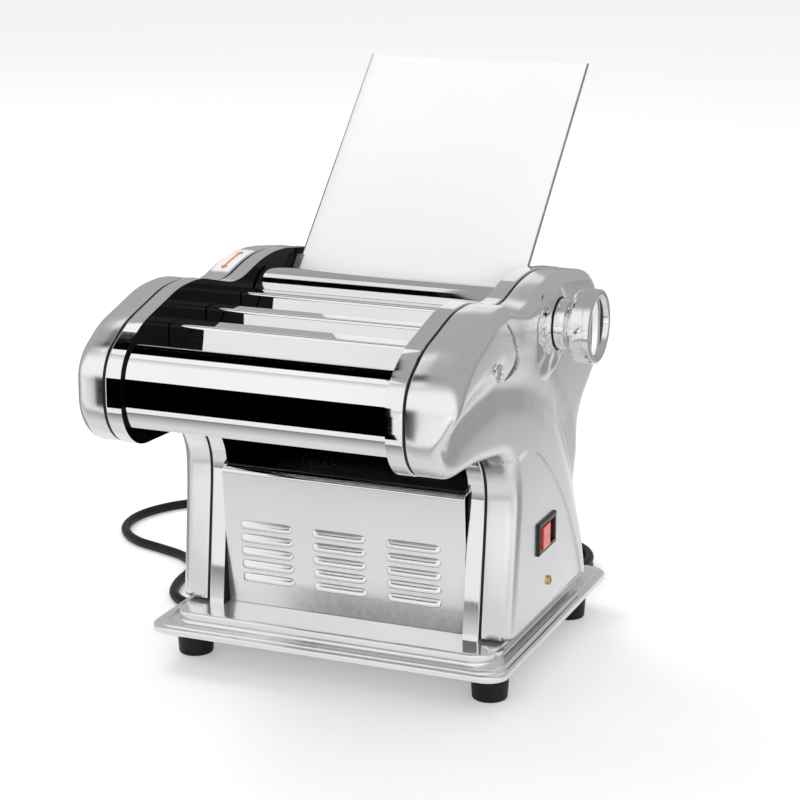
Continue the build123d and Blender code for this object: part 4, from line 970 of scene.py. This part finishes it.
def knob_boss(count=120, depth=10):
    """The cast boss round the collar, with an uneven polished surface."""
    rows = []
    for j in range(depth + 1):
        v = j / depth
        row = []
        for k in range(count):
            a = 2 * pi * k / count
            wave = 0.9 * sin(3 * a + 0.6) + 0.7 * sin(7 * a + 2.1) + 0.4 * sin(13 * a + 4.0)
            r = BOSS_RADIUS + (BOSS_SPREAD + wave) * (1 - v)
            lump = (0.65 + 0.35 * sin(9 * a + 5 * v) + 0.3 * sin(5 * a - 7 * v)) * sin(pi * v)
            row.append((BOSS_X + BOSS_RISE * v ** 0.5 + lump,
                        KNOB_AXIS[0] + r * cos(a) + BOSS_SHIFT[0] * (1 - v),
                        KNOB_AXIS[1] + r * sin(a) + BOSS_SHIFT[1] * (1 - v)))
        rows.append(row)
    verts, rings = stack(rows)
    obj = mesh_object("knob_boss", verts, skin(rings), chrome, 60)
    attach(obj, "chassis")


knob_boss()

# ---- arrow on the label ----
ARROW_X, ARROW_FRONT, ARROW_BACK = -105.5, -31.0, 1.0
HEAD_LENGTH, HEAD_SLOPE, SHAFT_HALF = 5.2, 0.55, 0.8
ARROW_LIFT = 0.32  # over the outline, just proud of the label


def label_arrow(rows=40):
    """A plain double arrow that follows the slope of the left cover's hump."""
    line = sorted(p for p in ring_at(-ARROW_LIFT) if -60 < p[0] < 30 and p[1] > 240)
    verts = []
    for k in range(rows + 1):
        u = k / rows
        y = ARROW_FRONT + (ARROW_BACK - ARROW_FRONT) * u
        z = float(np.interp(y, [p[0] for p in line], [p[1] for p in line]))
        tip = min(u, 1 - u) * (ARROW_BACK - ARROW_FRONT)
        half = max(0.05, tip * HEAD_SLOPE) if tip <= HEAD_LENGTH else SHAFT_HALF
        verts += [(ARROW_X - half, y, z), (ARROW_X + half, y, z)]
    faces = [(2 * k, 2 * k + 1, 2 * k + 3, 2 * k + 2) for k in range(rows)]
    obj = mesh_object("label_arrow", verts, faces, label_orange)
    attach(obj, "chassis")


label_arrow()

# ---- finishes of the pieces that keep their solid ----
dress = {name: looks[slot] for name, slot in slot_of.items()}
# the chute takes the near-black finish, painted shade under the head
dress["noodle_chute"] = chute_painted_shade
dress["switch_housing"] = gloss_black
for name, obj in nodes.items():
    obj.data.materials.clear()
    obj.data.materials.append(dress[name])
    obj.data.shade_smooth()
    obj.data.set_sharp_from_angle(angle=radians(28))
BRASS_SCREWS_BELOW = 100.0
screws = nodes["shell_screws"].data
screws.materials.append(bush_brass)
for face in screws.polygons:
    if face.center.z < BRASS_SCREWS_BELOW * MM:
        face.material_index = 1
# the frames' inner faces get the near-black finish, a painted dark reflection in place of their polished
# steel
for name, side in (("left_frame", 1), ("right_frame", -1)):
    mesh = nodes[name].data
    mesh.materials.append(painted_dark_reflection)
    for face in mesh.polygons:
        if face.normal.x * side > 0.9:
            face.material_index = 1


# ---- studio, in metres: white all round, with cards that only reflections see ----
def emission(name, strength, color=1.0):
    mat, tree = new_material(name)
    tree.nodes.clear()
    glow = put(tree.nodes.new("ShaderNodeEmission"), Color=rgba(color), Strength=strength)
    out = tree.nodes.new("ShaderNodeOutputMaterial")
    tree.links.new(glow.outputs[0], out.inputs[0])
    return mat


def fading_card(name, axis, near, far):
    """A glow that changes along one axis, from (place, strength) to (place, strength)."""
    mat = emission(name, 0.5)
    tree = mat.node_tree
    new, link = tree.nodes.new, tree.links.new
    place = new("ShaderNodeNewGeometry")
    split = new("ShaderNodeSeparateXYZ")
    spread = put(new("ShaderNodeMapRange"), From_Min=near[0], To_Min=near[1],
                 From_Max=far[0], To_Max=far[1])
    link(place.outputs["Position"], split.inputs[0])
    link(split.outputs[axis], spread.inputs["Value"])
    link(spread.outputs["Result"], tree.nodes["Emission"].inputs["Strength"])
    return mat


def stage_plane(name, corners, material, glossy_only=True):
    mesh = bpy.data.meshes.new(name)
    mesh.from_pydata(corners, [], [(0, 1, 2, 3)])
    mesh.materials.append(material)
    obj = bpy.data.objects.new(name, mesh)
    scene.collection.objects.link(obj)
    if glossy_only:
        obj.visible_camera = False
        obj.visible_diffuse = False
        obj.visible_shadow = False
        obj.visible_transmission = False


def level_plane(name, material, west, east, front, back, z, glossy_only=True):
    corners = [(west, front, z), (east, front, z), (east, back, z), (west, back, z)]
    stage_plane(name, corners, material, glossy_only)


# The low black card makes the dark band on the nose cover, and the high ones shape the slots.
# The cards on the floor dim what the sheets and covers reflect of it.
LOW_Y, LOW_WEST, LOW_EAST, LOW_FOOT, LOW_TOP = -0.30, -0.158, 0.051, 0.152, 0.228
HIGH_Z, NEAR_Z, SIDE_Z = 1.0, 0.002, 0.001
black_card = emission("black_card", 0.0, 0.0)
stage_plane("card_low", [(LOW_WEST, LOW_Y, LOW_FOOT), (LOW_EAST, LOW_Y, LOW_FOOT),
                         (LOW_EAST, LOW_Y, LOW_TOP), (LOW_WEST, LOW_Y, LOW_TOP)], black_card)
white_card = emission("white_card", 1.0)
level_plane("card_high", black_card, -0.54, -0.220, -0.328, -0.012, HIGH_Z)
level_plane("card_ahead", white_card, -0.56, -0.235, -0.55, -0.335, HIGH_Z)
level_plane("card_above", white_card, -0.56, -0.235, -0.005, 0.26, HIGH_Z)
level_plane("card_near", fading_card("near_card", "Y", (-0.44, 0.20), (-0.28, 0.75)),
            -0.9, 0.5, -0.44, -0.17, NEAR_Z)
level_plane("card_right", fading_card("right_card", "X", (0.22, 0.75), (0.42, 0.34)),
            0.16, 8, -0.1, 9, SIDE_Z)
level_plane("card_left", emission("left_card", 0.30), -8, -0.3, -0.3, 9, SIDE_Z)

FLOOR_HALF, FLOOR_COLOUR, FLOOR_GLOW = 14, 0.92, 0.22


def studio_floor():
    """A pale floor that keeps the shadow and looks white to the camera alone."""
    mat, tree = new_material("studio_floor")
    new, link = tree.nodes.new, tree.links.new
    shader = put(tree.nodes["Principled BSDF"], Base_Color=rgba(FLOOR_COLOUR), Roughness=0.6,
                 Specular_IOR_Level=0.1)
    path = new("ShaderNodeLightPath")
    glow = new("ShaderNodeEmission")
    add = new("ShaderNodeAddShader")
    scale = new("ShaderNodeMath")
    scale.operation = "MULTIPLY"
    scale.inputs[1].default_value = FLOOR_GLOW
    link(path.outputs["Is Camera Ray"], scale.inputs[0])
    link(scale.outputs[0], glow.inputs["Strength"])
    link(shader.outputs[0], add.inputs[0])
    link(glow.outputs[0], add.inputs[1])
    link(add.outputs[0], tree.nodes["Material Output"].inputs["Surface"])
    level_plane("floor", mat, -FLOOR_HALF, FLOOR_HALF, -FLOOR_HALF, FLOOR_HALF, 0, False)


studio_floor()

DIM_SIDE = (0.0, 0.899, 0.438)  # behind and above the object the studio is dimmer
DIM_FROM, DIM_TO = -0.20, 0.12
DIM_GREY, DIFFUSE_GREY = rgba((0.42, 0.42, 0.43)), rgba(0.78)


def studio_world():
    """White to the camera, even light on matt surfaces, and a white and a grey half in reflections."""
    world = bpy.data.worlds.new("studio")
    scene.world = world
    world.use_nodes = True
    tree = world.node_tree
    tree.nodes.clear()
    new, link = tree.nodes.new, tree.links.new
    where = new("ShaderNodeTexCoord")
    lean = new("ShaderNodeVectorMath")
    lean.operation = "DOT_PRODUCT"
    lean.inputs[1].default_value = DIM_SIDE
    link(where.outputs["Generated"], lean.inputs[0])
    spread = put(new("ShaderNodeMapRange"), From_Min=DIM_FROM, From_Max=DIM_TO)
    link(lean.outputs["Value"], spread.inputs["Value"])
    shade = new("ShaderNodeMix")
    shade.data_type = "RGBA"
    shade.inputs[6].default_value = rgba(1.0)
    shade.inputs[7].default_value = DIM_GREY
    link(spread.outputs["Result"], shade.inputs[0])
    path = new("ShaderNodeLightPath")
    even = new("ShaderNodeMix")
    even.data_type = "RGBA"
    even.inputs[7].default_value = DIFFUSE_GREY
    link(path.outputs["Is Diffuse Ray"], even.inputs[0])
    link(shade.outputs[2], even.inputs[6])
    studio = new("ShaderNodeBackground")
    link(even.outputs[2], studio.inputs["Color"])
    white = put(new("ShaderNodeBackground"), Color=rgba(1.0))
    mix = new("ShaderNodeMixShader")
    link(path.outputs["Is Camera Ray"], mix.inputs[0])
    link(studio.outputs[0], mix.inputs[1])
    link(white.outputs[0], mix.inputs[2])
    out = new("ShaderNodeOutputWorld")
    link(mix.outputs[0], out.inputs["Surface"])


studio_world()


def softbox(name, place, target, size, power):
    """A soft lamp that reflections don't show."""
    data = bpy.data.lights.new(name, "AREA")
    data.shape = "RECTANGLE"
    data.size, data.size_y = size
    data.energy = power
    obj = bpy.data.objects.new(name, data)
    scene.collection.objects.link(obj)
    obj.location = place
    look_at(obj, target)
    obj.visible_glossy = False


softbox("key", (-1.6, 1.0, 2.2), (0, 0, 0.15), (1.2, 1.2), 18)
softbox("front", (1.2, -2.4, 0.9), (0, 0, 0.2), (1.4, 0.8), 22)

scene.view_settings.view_transform = "Standard"
